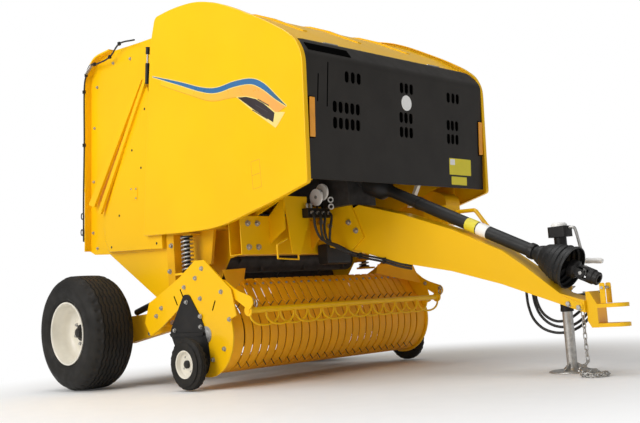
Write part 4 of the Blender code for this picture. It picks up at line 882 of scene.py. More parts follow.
def add_front_shield():
    """Folded front shield with its slots, reflectors, labels and disc."""
    body = "front_shield"
    sheet = 0.006
    outer = [FRONT_FOOT] + arc_corner(FRONT_FOOT, FRONT_FOLD, FRONT_TOP, 0.030) \
        + arc_corner(FRONT_FOLD, FRONT_TOP, FRONT_HINGE, 0.015) + [FRONT_HINGE]
    inner = []
    for before, here, after in zip([outer[0]] + outer, outer, outer[1:] + [outer[-1]]):
        along = (Vector(after) - Vector(before)).normalized()
        inner.append(Vector(here) + Vector((-along.y, along.x)) * sheet)
    skin = Shape()
    skin.plate(outer + inner[::-1], -COVER_Y, COVER_Y)
    holes = Shape()
    for y, z in front_slots():
        holes.plate(capsule(y, z, 0.036, 0.070), -0.03, 0.03, "X")
    leaning(holes)
    for side in (-1, 1):
        corner = [(side * (COVER_Y + 0.01), 2.06), (side * (COVER_Y + 0.01), 1.960)]
        corner += [(side * (COVER_Y - 0.075 + u), v)
                   for u, v in arc((0.0, 1.935), 0.0755, 0, 90, 8)]
        corner += [(side * (COVER_Y - 0.075), 2.06)]
        holes.plate(corner, 1.90, 2.20, "X")
    piece("front_shield_skin", skin, ["dark_panel"], body, bevel=0.0016,
          replaces=("front_shield",), cut=holes)
    marks = Shape()
    marks.turned([(0.049, -0.001), (0.049, 0.0015), (0.048, 0.0025)], (0.0, 0.038, 1.702),
                 (1, 0, 0), 40, 1)
    for y0, z0, y1, z1 in ((-0.668, 1.870, -0.681, 1.608), (-0.749, 1.793, -0.759, 1.631)):
        marks.plate([(y0 - 0.004, z0), (y0 + 0.004, z0), (y1 + 0.004, z1), (y1 - 0.004, z1)],
                    -0.001, 0.0012, "X", 0)
    for y in (-0.810, 0.826):
        frame_of = softened([(y - 0.026, 1.415), (y + 0.026, 1.415), (y + 0.026, 1.655),
                             (y - 0.026, 1.655)], 0.008)
        marks.plate(frame_of, -0.001, 0.004, "X", 0)
        lens = softened([(y - 0.021, 1.421), (y + 0.021, 1.421), (y + 0.021, 1.649),
                         (y - 0.021, 1.649)], 0.006)
        marks.plate(lens, 0.003, 0.009, "X", 2)
    for y0, y1, z0, z1, look in ((0.470, 0.710, 1.270, 1.380, 3), (0.490, 0.660, 1.203, 1.258, 3),
                                 (0.478, 0.530, 1.335, 1.374, 1)):
        marks.plate(softened([(y0, z0), (y1, z0), (y1, z1), (y0, z1)], 0.006), -0.001,
                    0.001 + 0.0004 * (look == 1), "X", look)
    # a dead black sheet behind the slots: painted shade inside the shield
    liner = [(-0.700, 1.460), (0.660, 1.460), (0.660, 1.870), (-0.700, 1.870)]
    marks.plate(liner, -0.0340, -0.0300, "X", 0)
    leaning(marks)
    # a dead black plate on the upper facet: the pocket's shade is painted on
    along = (Vector(FRONT_TOP) - Vector(FRONT_FOLD)).normalized()
    out = Vector((along.y, -along.x))
    start = Vector(FRONT_FOLD) + along * 0.034
    end = start + along * 0.060
    pocket = [start - out * 0.002, start + out * 0.004, end + out * 0.004, end - out * 0.002]
    marks.plate([tuple(p) for p in pocket], -0.804, -0.448)
    x, z = FRONT_HINGE
    for y in (-0.5, 0.5):
        marks.rod((x, y - 0.06, z), (x, y + 0.06, z), 0.009, 4)
    piece("front_shield_marks", marks,
          ["black_and_painted_shade", "label_white", "reflector", "label_yellow", "zinc"], body,
          bevel=0.0008, slot="black_plastic")


def arc_corner(before, here, after, radius, steps=6):
    """The corner of a path in X and Z, rounded."""
    here = Vector(here)
    start = here + (Vector(before) - here).normalized() * radius
    end = here + (Vector(after) - here).normalized() * radius
    result = []
    for k in range(steps + 1):
        t = k / steps
        result.append(tuple(start * (1 - t) ** 2 + here * 2 * t * (1 - t) + end * t * t))
    return result


# ---------------------------------------------------------------- pickup
def band_line():
    """Outer line of one band, from the throat over the reel to below it."""
    bend = arc(REEL, BAND_RADIUS, 52, -96, 26)
    start = [BAND_START, (1.225, 0.650), (1.262, 0.610)]
    return start + bend + [(1.085, 0.090), (1.000, 0.104), (0.915, 0.140)]


def banded(shape, low, high, look=0):
    """A strip over the reel between two values of Y, with turned-down edges."""
    line = [Vector(p) for p in band_line()]
    section = [(low, -0.009), (low + 0.002, -0.002), (low + 0.007, 0.0), (high - 0.007, 0.0),
               (high - 0.002, -0.002), (high, -0.009), (high - 0.008, -0.003),
               (low + 0.008, -0.003)]
    rings = []
    for before, here, after in zip([line[0]] + line, line, line[1:] + [line[-1]]):
        along = (after - before).normalized()
        out = Vector((-along.y, along.x))
        out = out if out.dot(here - Vector(REEL)) > 0 else -out
        rings.append([(here.x + out.x * d, y, here.y + out.y * d) for y, d in section])
    shape.loft(rings, look)


def add_bands():
    """Stripper bands over the reel, their end strips and deflectors, and their bolts."""
    bands = Shape()
    middles = [(i + 0.5 - BAND_COUNT / 2) * BAND_PITCH for i in range(1, BAND_COUNT - 1)]
    for y in middles:
        banded(bands, y - BAND_WIDTH / 2, y + BAND_WIDTH / 2)
    width = PICKUP_Y - 0.0005
    for side in (-1, 1):
        edges = sorted((side * 0.829, side * width))
        banded(bands, edges[0], edges[1])
    x, z = BAND_START
    bands.box((x + 0.002, -width, z - 0.039), (x + 0.018, width, z - 0.017))
    bands.box((0.890, -width, 0.115), (0.925, width, 0.170))
    for side in (-1, 1):
        low = [(1.400, side * 0.912, 0.575), (1.205, side * 0.640, 0.668)]
        high = [(1.225, side * 0.640, 0.735), (1.330, side * 0.912, 0.722)]
        wall = [Vector(p) for p in low + high]
        across = Vector((0.0, side * 0.004, 0.0))
        bands.loft([wall, [p - across for p in wall]])
    # the bands' more orange yellow is painted shade
    piece("pickup_bands_finished", bands, ["band_yellow_painted_shade"], "pickup", slot="yellow_paint",
          replaces=("pickup_bands",))
    bolts = Shape()
    for y in middles:
        for x, z in ((1.244, 0.632), (0.935, 0.1295)):
            out = (0.6, 0.0, 0.8) if z > REEL[1] else (-0.35, 0.0, -0.94)
            bolts.bolt((x, y, z), out, 0.012)
    piece("pickup_band_bolts", bolts, ["zinc"], "pickup")


def add_reel():
    """Tine reel: tube, four tine bars and sprung wire tines."""
    reel = Shape()
    x, z = REEL
    width = PICKUP_Y - 0.013
    reel.rod((x, -width, z), (x, width, z), 0.075, 2, 36)
    reel.rod((x, -PICKUP_Y + 0.0004, z), (x, PICKUP_Y - 0.0004, z), 0.025, 0)
    for y in (-width, -0.45, 0.0, 0.45, width - 0.006):
        reel.rod((x, y, z), (x, y + 0.006, z), 0.108, 2, 36)
    for row in range(4):
        angle = math.radians(90 * row + 40)
        out = Vector((math.cos(angle), 0.0, math.sin(angle)))
        back = Vector((-out.z, 0.0, out.x))
        centre = Vector((x, 0.0, z))
        bar = centre + out * 0.096
        reel.rod(bar - Vector((0, width, 0)), bar + Vector((0, width, 0)), 0.010, 2, 12)
        for i in range(BAND_COUNT - 1):
            y = (i - (BAND_COUNT - 2) / 2) * BAND_PITCH
            middle = centre + Vector((0.0, y, 0.0))
            for k in (-2, -1, 1, 2):
                turn = bar + Vector((0.0, y + 0.0050 * k, 0.0))
                reel.ring(turn, (0, 1, 0), 0.0125, 0.0024, 1, 10)
            wire = [middle + out * 0.106 + back * 0.008, middle + out * 0.160 + back * 0.006,
                    middle + out * 0.230 + back * 0.002, middle + out * TINE_TIP]
            reel.tube(smooth(wire, 3), 0.0030, 1, 8)
    # the reel's dark brown drum, discs and bars and its dark brown tines are painted shade between
    # the bands
    piece("pickup_reel_finished", reel, ["bare_steel", "tine_steel_painted_shade", "reel_painted_shade"], "pickup_reel",
          replaces=("pickup_reel",))


def add_pickup_sides():
    """End plates' trim, gauge wheel arms and the float springs."""
    trim = Shape()
    face = -(PICKUP_Y + PLATE)
    trim.bolts(face, -1, 0.020, [
        (0.640, 0.470), (0.700, 0.520), (0.960, 0.640), (1.080, 0.690), (1.150, 0.745),
        (1.330, 0.590), (1.395, 0.420), (1.330, 0.245), (1.215, 0.180), (1.120, 0.560)])
    # dead black slot shapes on the plate: painted shade of open slots
    for x, z, lean in ((0.860, 0.560, 0.5), (0.930, 0.600, 0.5), (1.250, 0.510, -0.5)):
        slot_line = capsule(0.0, 0.0, 0.010, 0.070)
        turned_line = [(x + u * math.cos(lean) - v * math.sin(lean),
                        z + u * math.sin(lean) + v * math.cos(lean)) for u, v in slot_line]
        trim.plate(turned_line, face + 0.001, face - 0.0006, "Y", 2)
    rim_line = [(1.420, 0.596), (1.458, 0.440)] + arc(REEL, 0.2585, 20, -100, 14)
    trim.tube([(u, face + 0.001, v) for u, v in rim_line], 0.005, 0, 8)
    hub = [(0.052, 0.0), (0.052, 0.004), (0.044, 0.006), (0.030, 0.006), (0.028, 0.0085)]
    trim.turned([(r, h - 0.0005) for r, h in hub], (REEL[0], face, REEL[1]), (0, -1, 0), 28, 1)
    for name, shape in (("right", trim), ("left", trim.mirrored())):
        piece(f"pickup_trim_{name}", shape, ["yellow_paint", "zinc", "black_and_painted_shade"], "pickup")
    for side, name in ((-1, "right"), (1, "left")):
        refined(f"pickup_side_{name}", 0.003)
        inner = PICKUP_Y + PLATE + 0.0003
        arm = Shape()
        outline = rounded([(1.010, 0.592, 0.02), (0.955, 0.592, 0.02), (0.790, 0.360, 0.03),
                           (0.840, 0.260, 0.03), (1.060, 0.090, 0.04), (1.150, 0.090, 0.03),
                           (1.190, 0.170, 0.03), (1.165, 0.380, 0.20)])
        arm.plate(outline, side * inner, side * (inner + 0.008))
        x, y, z, _ = GAUGE_WHEEL
        arm.rod((x, side * (inner + 0.002), z), (x, side * (y + 0.004), z), 0.0138, 1)
        arm.plate(softened([(0.800, 0.352), (0.812, 0.330), (1.150, 0.330), (1.150, 0.352)], 0.006),
                  side * (inner + 0.006), side * (inner + 0.020))
        arm.bolts(side * (inner + 0.008), side, 0.020,
                  [(0.845, 0.370), (0.985, 0.545), (1.120, 0.385), (1.120, 0.450)])
        piece(f"gauge_wheel_arm_{name}_finished", arm, ["black_paint", "zinc"], "pickup",
              bevel=0.0012, replaces=(f"gauge_wheel_arm_{name}",))
        add_float_spring(side, name)


def add_float_spring(side, name):
    """Coil spring around a tube, with a mesh of its own."""
    x, y, foot, head = SPRING
    spring = Shape()
    turns, count = 9, 200
    coil = []
    for k in range(count + 1):
        t = k / count
        angle = math.tau * turns * t
        height = foot + 0.005 + (head - foot - 0.010) * t
        coil.append((x + 0.0355 * math.cos(angle), side * y + 0.0355 * math.sin(angle), height))
    spring.tube(coil, 0.0058, 1, 8)
    spring.rod((x, side * y, foot), (x, side * y, head), 0.019, 0, 20)
    for z in (foot, head - 0.010):
        spring.turned([(0.0415, 0.0), (0.0415, 0.008), (0.036, 0.010), (0.020, 0.010)],
                      (x, side * y, z), (0, 0, 1), 28, 0)
    obj = piece(f"float_spring_{name}_coil", spring, ["black_paint", "zinc"], "chassis",
                replaces=(f"float_spring_{name}",))
    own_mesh(obj)


def add_wind_guard():
    """Guard bar on its two arms, and the wire bows below it."""
    guard = Shape()
    x, z = GUARD_BAR
    width = PICKUP_Y - 0.006
    guard.rod((x, -width + 0.004, z), (x, width - 0.004, z), 0.018, 0, 24)
    outline = rounded([(1.300, 0.660, 0.02), (1.345, 0.662, 0.02), (1.450, 0.592, 0.05),
                       (1.590, 0.545, 0.02), (1.602, 0.505, 0.02), (1.560, 0.465, 0.02),
                       (1.500, 0.500, 0.04), (1.400, 0.560, 0.05), (1.310, 0.610, 0.02)])
    for side in (-1, 1):
        guard.plate(outline, side * (width - 0.008), side * width)
        guard.turned([(0.034, 0.0), (0.034, 0.010), (0.018, 0.014)],
                     (x, side * (width - 0.008), z), (0, -side, 0), 24)
        guard.bolts(side * (width - 0.008), -side, 0.020,
                    [(1.345, 0.630), (1.440, 0.570), (1.575, 0.530)])
        guard.ring((1.590, side * (width - 0.030), 0.505), (0.3, 1, 0), 0.020, 0.004, 1)
    piece("wind_guard_finished", guard, ["yellow_paint", "zinc"], "wind_guard", bevel=0.0012,
          replaces=("wind_guard",))
    arcs = Shape()
    count, pitch = 14, 0.120
    for k in range(count):
        y = (k - (count - 1) / 2) * pitch
        bow = [Vector((x + 0.004 + 0.006 * (k % 2), y - 0.115 * math.cos(a),
                       z - 0.014 - 0.078 * math.sin(a) ** 0.8))
               for a in (math.pi * j / 14 for j in range(15))]
        arcs.tube(bow, 0.0068, 0, 8)
    piece("wind_guard_wires", arcs, ["yellow_paint"], "wind_guard")


# ---------------------------------------------------------------- tongue, driveline and jack
def along_drive(distance):
    """The place on the driveline at a distance from its rear end."""
    return DRIVE_REAR + DRIVE_LINE * distance


def add_driveline():
    """Guard tube with its safety bands and ribbed bell, and the yoke at its front."""
    end = DRIVE_LENGTH - 0.165
    start = end - 0.215
    guard = Shape()
    profile = [(0.119, end), (0.120, end - 0.010)]
    for k in range(6):
        t = k / 6
        radius = 0.116 - 0.062 * t ** 1.7
        place = end - 0.020 - 0.185 * t
        profile += [(radius, place), (radius - 0.004, place - 0.004),
                    (radius - 0.014, place - 0.014), (radius - 0.013, place - 0.022)]
    profile += [(0.050, start), (0.0385, start - 0.022), (0.038, start - 0.050), (0.038, 0.330),
                (0.036, 0.326), (0.036, 0.180), (0.044, 0.150), (0.074, 0.112), (0.078, 0.070),
                (0.080, -0.0203), (0.072, -0.0203), (0.066, 0.100), (0.0262, 0.120),
                (0.0262, start + 0.010), (0.074, start + 0.045), (0.104, end - 0.090),
                (0.113, end)]
    guard.turned(profile, DRIVE_REAR, DRIVE_LINE, 48, 0, closed=True)
    for low, high, radius, look in ((0.800, 0.880, 0.0392, 1), (0.885, 0.960, 0.0392, 2),
                                    (0.400, 0.425, 0.041, 3)):
        guard.turned([(radius - 0.002, low), (radius, low + 0.002), (radius, high - 0.002),
                      (radius - 0.002, high)], DRIVE_REAR, DRIVE_LINE, 40, look)
    guard.turned([(0.044, start - 0.062), (0.046, start - 0.056), (0.046, start - 0.036),
                  (0.044, start - 0.030)], DRIVE_REAR, DRIVE_LINE, 40, 3)
    piece("driveline_guard_finished", guard,
          ["black_plastic", "label_yellow", "label_white", "black_paint"], "chassis",
          replaces=("driveline_guard",))
    shaft = Shape()
    shaft.turned([(0.045, -0.0297), (0.045, 0.080), (0.0238, 0.092), (0.0238, DRIVE_LENGTH - 0.190),
                  (0.040, DRIVE_LENGTH - 0.180), (0.050, DRIVE_LENGTH - 0.172),
                  (0.050, DRIVE_LENGTH - 0.140), (0.034, DRIVE_LENGTH - 0.128)],
                 DRIVE_REAR, DRIVE_LINE, 32, 0)
    across = Vector((0.0, 1.0, 0.0))
    upward = DRIVE_LINE.cross(across)
    middle = along_drive(DRIVE_LENGTH - 0.095)
    for first, second, way in ((across, upward, -1), (upward, across, 1)):
        for side in (-1, 1):
            ear = []
            for u, v in ((-0.042, 0.018), (0.018, 0.020), (0.024, 0.0), (0.018, -0.020),
                         (-0.042, -0.018)):
                ear.append(middle + DRIVE_LINE * (u * -way) + second * v)
            shaft.loft([[p + first * side * r for p in ear] for r in (0.026, 0.038)], 0)
        shaft.rod(middle - first * 0.041, middle + first * 0.041, 0.010, 1)
    shaft.turned([(0.034, DRIVE_LENGTH - 0.060), (0.041, DRIVE_LENGTH - 0.054),
                  (0.041, DRIVE_LENGTH - 0.030), (0.036, DRIVE_LENGTH - 0.026),
                  (0.036, DRIVE_LENGTH - 0.004), (0.032, DRIVE_LENGTH), (0.019, DRIVE_LENGTH),
                  (0.019, DRIVE_LENGTH - 0.060)], DRIVE_REAR, DRIVE_LINE, 32, 0, closed=True)
    piece("driveline_shaft_finished", shaft, ["black_paint", "zinc"], "driveline_shaft",
          bevel=0.0012, slot="bare_steel", replaces=("driveline_shaft",))


def add_jack():
    """Jack tube with its head and crank, and the leg with its foot."""
    x, y = JACK
    tube = Shape()
    profile = [(0.0365, 0.335), (0.0365, 0.352), (0.0350, 0.355), (0.0350, 0.752)]
    bore = [(0.0300, 0.752), (0.0300, 0.335)]
    tube.turned(profile + bore, (x, y, 0.0), UP, 40, 0, closed=True)
    head = rounded([(x - 0.055, y - 0.045, 0.018), (x + 0.060, y - 0.045, 0.018),
                    (x + 0.060, y + 0.045, 0.018), (x - 0.055, y + 0.045, 0.018)])
    tube.plate(head, 0.752, 0.812, "Z")
    tube.turned([(0.046, 0.812), (0.044, 0.824), (0.034, 0.833), (0.0003, 0.834)], (x, y, 0.0),
                UP, 32, 1)
    crank = [(x + 0.055, y, 0.800), (x + 0.084, y, 0.800), (x + 0.096, y + 0.006, 0.784),
             (x + 0.104, y + 0.026, 0.690), (x + 0.108, y + 0.040, 0.618)]
    tube.tube(smooth(crank, 6), 0.0085, 2, 12)
    knob = [(0.0090, 0.0), (0.0150, 0.008), (0.0160, 0.030), (0.0145, 0.060), (0.0160, 0.095),
            (0.0155, 0.112), (0.0100, 0.122), (0.0003, 0.123)]
    tube.turned(knob, (x + 0.102, y + 0.042, 0.610), (0.122, 0.0, -0.010), 24, 1)
    # the jack's clamp rings and bracket take the darker yellow: painted shade
    for z in (0.405, 0.452):
        tube.turned([(0.0365, z), (0.0405, z + 0.001), (0.0405, z + 0.022), (0.0365, z + 0.023)],
                    (x, y, 0.0), UP, 40, 3)
    tube.box((x - 0.042, TONGUE_Y + 0.0003, 0.400), (x + 0.042, y - 0.026, 0.480), 3)
    for bx in (-0.028, 0.028):
        tube.bolt((x + bx, y - 0.020, 0.440), (0, 1, 0), 0.016, 2)
    tube.tube([(x - 0.030, y + 0.036, 0.472), (x - 0.030, y + 0.070, 0.476),
               (x + 0.020, y + 0.075, 0.470), (x + 0.022, y + 0.045, 0.462)], 0.004, 2, 8)
    piece("jack_tube_finished", tube, ["black_paint", "label_white", "zinc", "yellow_painted_shade"],
          "chassis", bevel=0.0015, replaces=("jack_tube",))
    leg = Shape()
    leg.turned([(0.0288, 0.514), (0.0288, 0.030), (0.0330, 0.022), (0.0420, 0.013),
                (0.1180, 0.0105), (0.1290, 0.0070), (0.1300, 0.0020), (0.1280, 0.0),
                (0.0003, 0.0)], (x, y, 0.0), UP, 48)
    for k in range(3):
        angle = math.radians(120 * k + 30)
        out = Vector((math.cos(angle), math.sin(angle), 0.0))
        across = UP.cross(out) * 0.003
        foot = Vector((x, y, 0.0))
        fin = [foot + out * 0.028 + UP * 0.011, foot + out * 0.100 + UP * 0.011,
               foot + out * 0.028 + UP * 0.052]
        leg.loft([[p - across for p in fin], [p + across for p in fin]])
    piece("jack_leg_finished", leg, ["zinc"], "jack_leg", bevel=0.001,
          replaces=("jack_leg",))


def add_tongue():
    """Rounded tongue, crossbeam and clevis, with bolts, plates and clipped lines."""
    refined("tongue", 0.007, 3)
    refined("hitch_clevis", 0.004, 3)
    refined("front_crossbeam", 0.006, 3)
    refined("gearbox", 0.012, 3)
    refined("hose_bracket", 0.002)
    refined("driveline_rest", 0.004, 2)
    trim = Shape()
    trim.bolts(-TONGUE_Y - 0.014, -1, 0.026, [(1.390, 1.020), (1.390, 0.910), (1.470, 0.985),
                                              (1.640, 0.990), (1.700, 0.930)])
    trim.bolts(-TONGUE_Y, -1, 0.024, [(3.180, 0.382), (3.240, 0.360)])
    trim.plate(softened([(3.120, 0.402), (3.262, 0.346), (3.262, 0.376), (3.150, 0.424)], 0.008),
               -TONGUE_Y + 0.001, -TONGUE_Y - 0.006)
    holder = rounded([(3.346, 0.373, 0.002), (3.375, 0.373, 0.002), (3.375, 0.480, 0.010),
                      (3.346, 0.480, 0.010)])
    for side in (-1, 1):
        trim.plate(holder, side * 0.030, side * 0.036)
    trim.rod((3.360, -0.040, 0.455), (3.360, 0.040, 0.455), 0.008, 1)
    trim.ring((3.3605, 0.048, 0.455), (1, 0, 0), 0.012, 0.002, 1)
    low_line = smooth([(1.640, -0.080, 0.775), (1.760, -0.077, 0.745), (1.900, -0.077, 0.712),
                       (2.020, -0.060, 0.672), (2.090, -0.020, 0.650)], 8)
    for lift in (0.0, 0.017):
        trim.tube([p + UP * lift for p in low_line], 0.0075, 2, 10)
    for k in (5, 17):
        p = low_line[k]
        trim.box((p.x - 0.010, -0.086, p.z - 0.010), (p.x + 0.010, -0.069, p.z + 0.028), 3)
    piece("tongue_trim", trim, ["yellow_paint", "zinc", "hose_rubber", "black_plastic"], "chassis",
          bevel=0.001)
    box_guard = Shape()
    box_guard.plate(softened([(1.360, 0.735), (1.452, 0.735), (1.452, 0.868), (1.360, 0.868)],
                             0.020), -0.110, 0.110)
    piece("tongue_root_guard", box_guard, ["black_plastic"], "chassis", bevel=0.006, segments=3)


def add_bracket_lines():
    """Twine guides and valve block on the bracket, and the clipped hoses beside them."""
    guides = Shape()
    guides.box((1.5003, -0.366, 1.030), (1.5553, -0.166, 1.090), 0)
    for x, y, z in ((1.528, -0.255, 1.165), (1.528, -0.200, 1.200)):
        guides.turned([(0.055, -0.0068), (0.056, -0.004), (0.050, 0.0), (0.056, 0.004),
                       (0.055, 0.0068), (0.012, 0.0068), (0.012, -0.0068)],
                      (x, y, z), (0, 1, 0), 36, 1, closed=True)
        guides.rod((x, y - 0.011, z), (x, y + 0.011, z), 0.010, 2)
        guides.box((x - 0.006, y - 0.004, 1.088), (x + 0.006, y + 0.004, z), 0)
    for y, z in ((-0.345, 1.105), (-0.310, 1.105)):
        guides.turned([(0.011, -0.015), (0.011, 0.014), (0.008, 0.020)], (1.528, y, z), UP, 6, 2)
    for y, z in ((-0.140, 1.150), (-0.140, 1.105)):
        guides.ring((1.545, y, z), (1, -1, 0), 0.016, 0.005, 1)
    for y in (-0.340, -0.290, -0.240, -0.190):
        guides.turned([(0.010, 0.0), (0.012, 0.004), (0.012, 0.018), (0.008, 0.022)],
                      (1.5553, y, 1.060), (1, 0, 0), 6, 2)
    piece("twine_guides_finished", guides, ["black_paint", "label_white", "zinc"], "chassis",
          bevel=0.0015, replaces=("twine_guides",))
    lines = Shape()
    for y, drop, reach in ((-0.340, 0.000, 0.0), (-0.290, 0.012, 0.01), (-0.240, 0.006, 0.0),
                           (-0.190, 0.018, 0.01)):
        lines.tube(smooth([(1.570, y, 1.060), (1.586 + reach, y - 0.005, 1.030),
                           (1.580 + reach, y * 0.8 - 0.060, 0.960 - drop),
                           (1.580, y * 0.5 - 0.110, 0.885 - drop), (1.590, -0.150, 0.845 - drop),
                           (1.630, -0.100, 0.805 - drop * 0.5), (1.700, -0.086, 0.772)], 8),
                   0.0085, 0, 10)
    piece("bracket_hoses", lines, ["hose_rubber"], "chassis")


def add_hose_clamps():
    """Clamp blocks that hold the free hoses, each of two halves with bolts."""
    for node in ("hose_clamp_rear", "hose_clamp_front"):
        refined(node, 0.004, 3)
    bolts = Shape()
    for x, y, z in ((2.728, 0.110, 0.560), (2.802, 0.110, 0.560), (2.728, 0.268, 0.560),
                    (2.802, 0.268, 0.560), (3.088, 0.105, 0.430), (3.176, 0.105, 0.430),
                    (3.176, 0.270, 0.430)):
        bolts.bolt((x, y, z), UP, 0.014)
    piece("hose_clamp_bolts", bolts, ["zinc"], "chassis")


# ---------------------------------------------------------------- body, tailgate and sides
def add_tailgate():
    """Rounded tailgate with its ridges, folded rim, cable, plates and rear ribs."""
    for name in ("right", "left"):
        refined(f"tailgate_panel_{name}", 0.008, 3)
    refined("tailgate_rear_cover", 0.002)
    trim = Shape()
    face = -GATE_Y
    edge = -GATE_PLATE_Y
    trim.plate(softened([(0.277, 1.290), (0.360, 1.280), (0.368, 1.372), (0.285, 1.384)], 0.008),
               face + 0.001, face - 0.003)
    trim.bolts(face - 0.003, -1, 0.009, [(0.292, 1.368), (0.352, 1.362), (0.345, 1.296)])
    for x, z in ((0.500, 1.900), (0.420, 1.500), (0.560, 1.300), (0.320, 1.640), (0.120, 1.200),
                 (0.560, 0.960), (0.000, 0.985)):
        trim.turned([(0.009, 0.0), (0.009, 0.0006)], (x, face, z), (0, -1, 0), 20, 3)
    ridge = face - 0.018
    for outline in ([(0.440, 2.100), (0.512, 2.108), (-0.185, 1.298), (-0.257, 1.324)],
                    [(0.545, 2.125), (0.585, 2.125), (-0.100, 1.235), (-0.140, 1.252)]):
        trim.plate(rounded([(*corner, 0.012) for corner in outline]), face + 0.002, ridge)
    trim.rod((0.572, ridge, 2.060), (0.590, ridge, 2.200), 0.014, 3)
    trim.rod((0.590, ridge, 2.200), (0.598, ridge, 2.262), 0.007, 1)
    trim.rod((0.598, ridge, 2.262), (0.604, ridge, 2.310), 0.014, 3)
    rim = [(-0.352, 0.985), (-0.306, 1.500), (-0.262, 2.000), (-0.240, 2.250), (-0.212, 2.318),
           (-0.100, 2.404), (0.100, 2.418)]
    trim.plate(ribbon([(x, z, 0.006) for x, z in rim]), edge + 0.004, edge - 0.050)
    edge_y = edge - 0.054
    cable = smooth([(0.440, edge_y, 2.405), (0.250, edge_y, 2.425), (0.120, edge_y, 2.360),
                    (-0.050, edge_y, 2.350), (-0.150, edge_y, 2.362), (-0.212, edge_y, 2.300),
                    (-0.252, edge_y, 2.180), (-0.285, edge_y, 1.780), (-0.330, edge_y, 1.380),
                    (-0.356, edge_y, 1.060)], 6)
    trim.tube(cable, 0.006, 2, 10)
    for k in (6, 12, 20, 30, 36, 42):
        p = cable[min(k, len(cable) - 1)]
        trim.box((p.x - 0.012, edge_y - 0.008, p.z - 0.012), (p.x + 0.012, edge_y + 0.007,
                                                              p.z + 0.012), 3)
    coil = []
    for k in range(121):
        t = k / 120
        angle = math.tau * 12 * t
        coil.append((-0.120 - 0.080 * t, edge_y - 0.004 + 0.010 * math.cos(angle),
                     2.355 - 0.045 * t + 0.010 * math.sin(angle)))
    trim.tube(coil, 0.0022, 1, 6)
    for z in (1.250, 1.130):
        trim.ring((-0.352 - (1.250 - z) * 0.12, edge_y - 0.004, z), (0.2, 1, 0), 0.022, 0.004, 2)
    hook = softened([(-0.335, 1.440), (-0.385, 1.436), (-0.394, 1.462), (-0.372, 1.474),
                     (-0.338, 1.474)], 0.006)
    trim.plate(hook, edge + 0.006, edge - 0.010)
    trim.bolts(edge, -1, 0.016, [(0.080, 2.330), (0.300, 2.310), (-0.150, 2.200), (-0.215, 1.900),
                                 (-0.260, 1.500), (-0.300, 1.120), (-0.250, 1.000)])
    for name, shape in (("right", trim), ("left", trim.mirrored())):
        piece(f"tailgate_trim_{name}", shape,
              ["yellow_paint", "zinc", "hose_rubber", "black_plastic"], "tailgate", bevel=0.0008)
    rear = Shape()
    for z, x in ((1.200, -0.3215), (1.620, -0.2845), (2.060, -0.2440)):
        rear.plate(softened([(-0.700, z - 0.030), (0.700, z - 0.030), (0.700, z + 0.030),
                             (-0.700, z + 0.030)], 0.02), x + 0.008, x - 0.004, "X", 0)
    for y in (-0.640, 0.640):
        for z, x in ((1.350, -0.3300), (1.950, -0.2730)):
            rear.box((x - 0.006, y - 0.060, z - 0.035), (x + 0.010, y + 0.060, z + 0.035), 1)
    piece("tailgate_rear_ribs", rear, ["yellow_paint", "reflector"], "tailgate", bevel=0.003)


def add_cylinders():
    """The tailgate cylinders with rounded edges."""
    for name in ("right", "left"):
        refined(f"cylinder_barrel_{name}", 0.003)
        refined(f"cylinder_rod_{name}", 0.002)


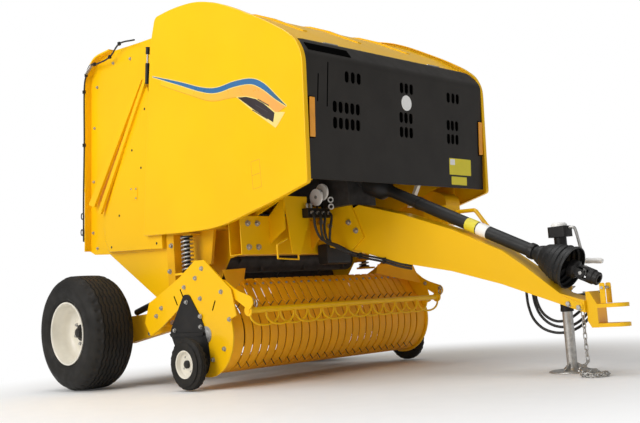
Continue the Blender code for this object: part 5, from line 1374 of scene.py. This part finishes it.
def add_chassis():
    """Axle frame, side frames and top cover, with bolts, drive case and ribs."""
    # the axle frame, side frames and the trims below take the darker yellow: painted shade
    refined("axle_frame", 0.005, 2, "yellow_painted_shade")
    for name in ("right", "left"):
        refined(f"side_frame_{name}", 0.003, 2, "yellow_painted_shade")
    refined("top_cover", 0.0015)
    refined("feed_rotor", 0.002)
    for side in (-1, 1):
        blocks = Shape()
        blocks.plate(softened([(-0.105, 0.318), (0.105, 0.318), (0.105, 0.470), (-0.105, 0.470)],
                              0.020), side * 0.850, side * 0.868)
        blocks.bolts(side * 0.868, side, 0.026,
                     [(x, z) for x in (-0.075, 0.075) for z in (0.345, 0.443)])
        blocks.turned([(0.055, 0.868), (0.060, 0.872), (0.060, 0.905), (0.052, 0.912)],
                      (0.0, 0.0, TYRE_RADIUS), (0, side, 0), 36)
        blocks.bolts(side * 0.820, side, 0.024, [(0.150, 0.330), (0.400, 0.355), (0.665, 0.420),
                                                 (0.695, 0.560), (0.665, 0.760), (0.695, 0.930)])
        blocks.rod((0.160, side * 0.765, 0.505), (0.640, side * 0.765, 0.620), 0.022, 2)
        piece(f"axle_trim_{'right' if side < 0 else 'left'}", blocks,
              ["yellow_painted_shade", "zinc", "black_paint"], "chassis", bevel=0.003,
              slot="yellow_paint")
    beam = Shape()
    front = 1.345
    for y in (-0.700, -0.620, 0.620, 0.700):
        for z in (0.860, 1.010):
            beam.bolt((front, y, z), (1, 0, 0), 0.026, 1)
    for side in (-1, 1):
        gusset = [(front - 0.004, 0.830), (front + 0.090, 0.920), (front + 0.090, 0.990),
                  (front - 0.004, 1.045)]
        beam.plate(gusset, side * 0.140, side * 0.150)
    case = rounded([(1.200, 1.065, 0.04), (1.880, 1.020, 0.06), (1.900, 1.150, 0.05),
                    (1.780, 1.210, 0.05), (1.200, 1.200, 0.04)])
    beam.plate(case, 0.640, 0.800)
    beam.plate(softened([(1.920, 1.060), (1.945, 1.060), (2.028, 1.200), (2.002, 1.200)], 0.004),
               0.185, 0.215, "Y", 2)
    piece("crossbeam_trim", beam, ["yellow_painted_shade", "zinc", "rim_cream"], "chassis", bevel=0.003,
          slot="yellow_paint")
    ribs = Shape()
    top = [(1.780, 2.163), (1.500, 2.316), (1.350, 2.382), (1.150, 2.440), (0.960, 2.457)]
    for y in (-0.500, 0.0, 0.500):
        outline = [(x, z - 0.002) for x, z in top] + [(x, z + 0.014) for x, z in top[::-1]]
        ribs.plate(outline, y - 0.020, y + 0.020)
    piece("top_cover_ribs", ribs, ["yellow_paint"], "chassis", bevel=0.004)


# ---------------------------------------------------------------- the machine
RECORD = frame["record"]
NODE_BODY = {node: body for body, nodes in RECORD["behaviour"]["bodies"].items() for node in nodes}
NODE_SLOT = {part["node"]: part["material_slot"] for part in RECORD["subparts"]}

add_camera()
LOOKS = {look: surface(look, *facts, fade=LOOK_FADES.get(look))
         for look, facts in LOOK_FACTS.items()}
paint_frame()
add_hoses()
add_chain()
for way, side_name in ((-1, "right"), (1, "left")):
    add_main_wheel(way, side_name)
    add_gauge_wheel(way, side_name)
    add_side_shield(way, side_name)
add_front_shield()
add_tailgate()
add_cylinders()
add_chassis()
add_bands()
add_reel()
add_pickup_sides()
add_wind_guard()
add_driveline()
add_jack()
add_tongue()
add_bracket_lines()
add_hose_clamps()
add_studio()
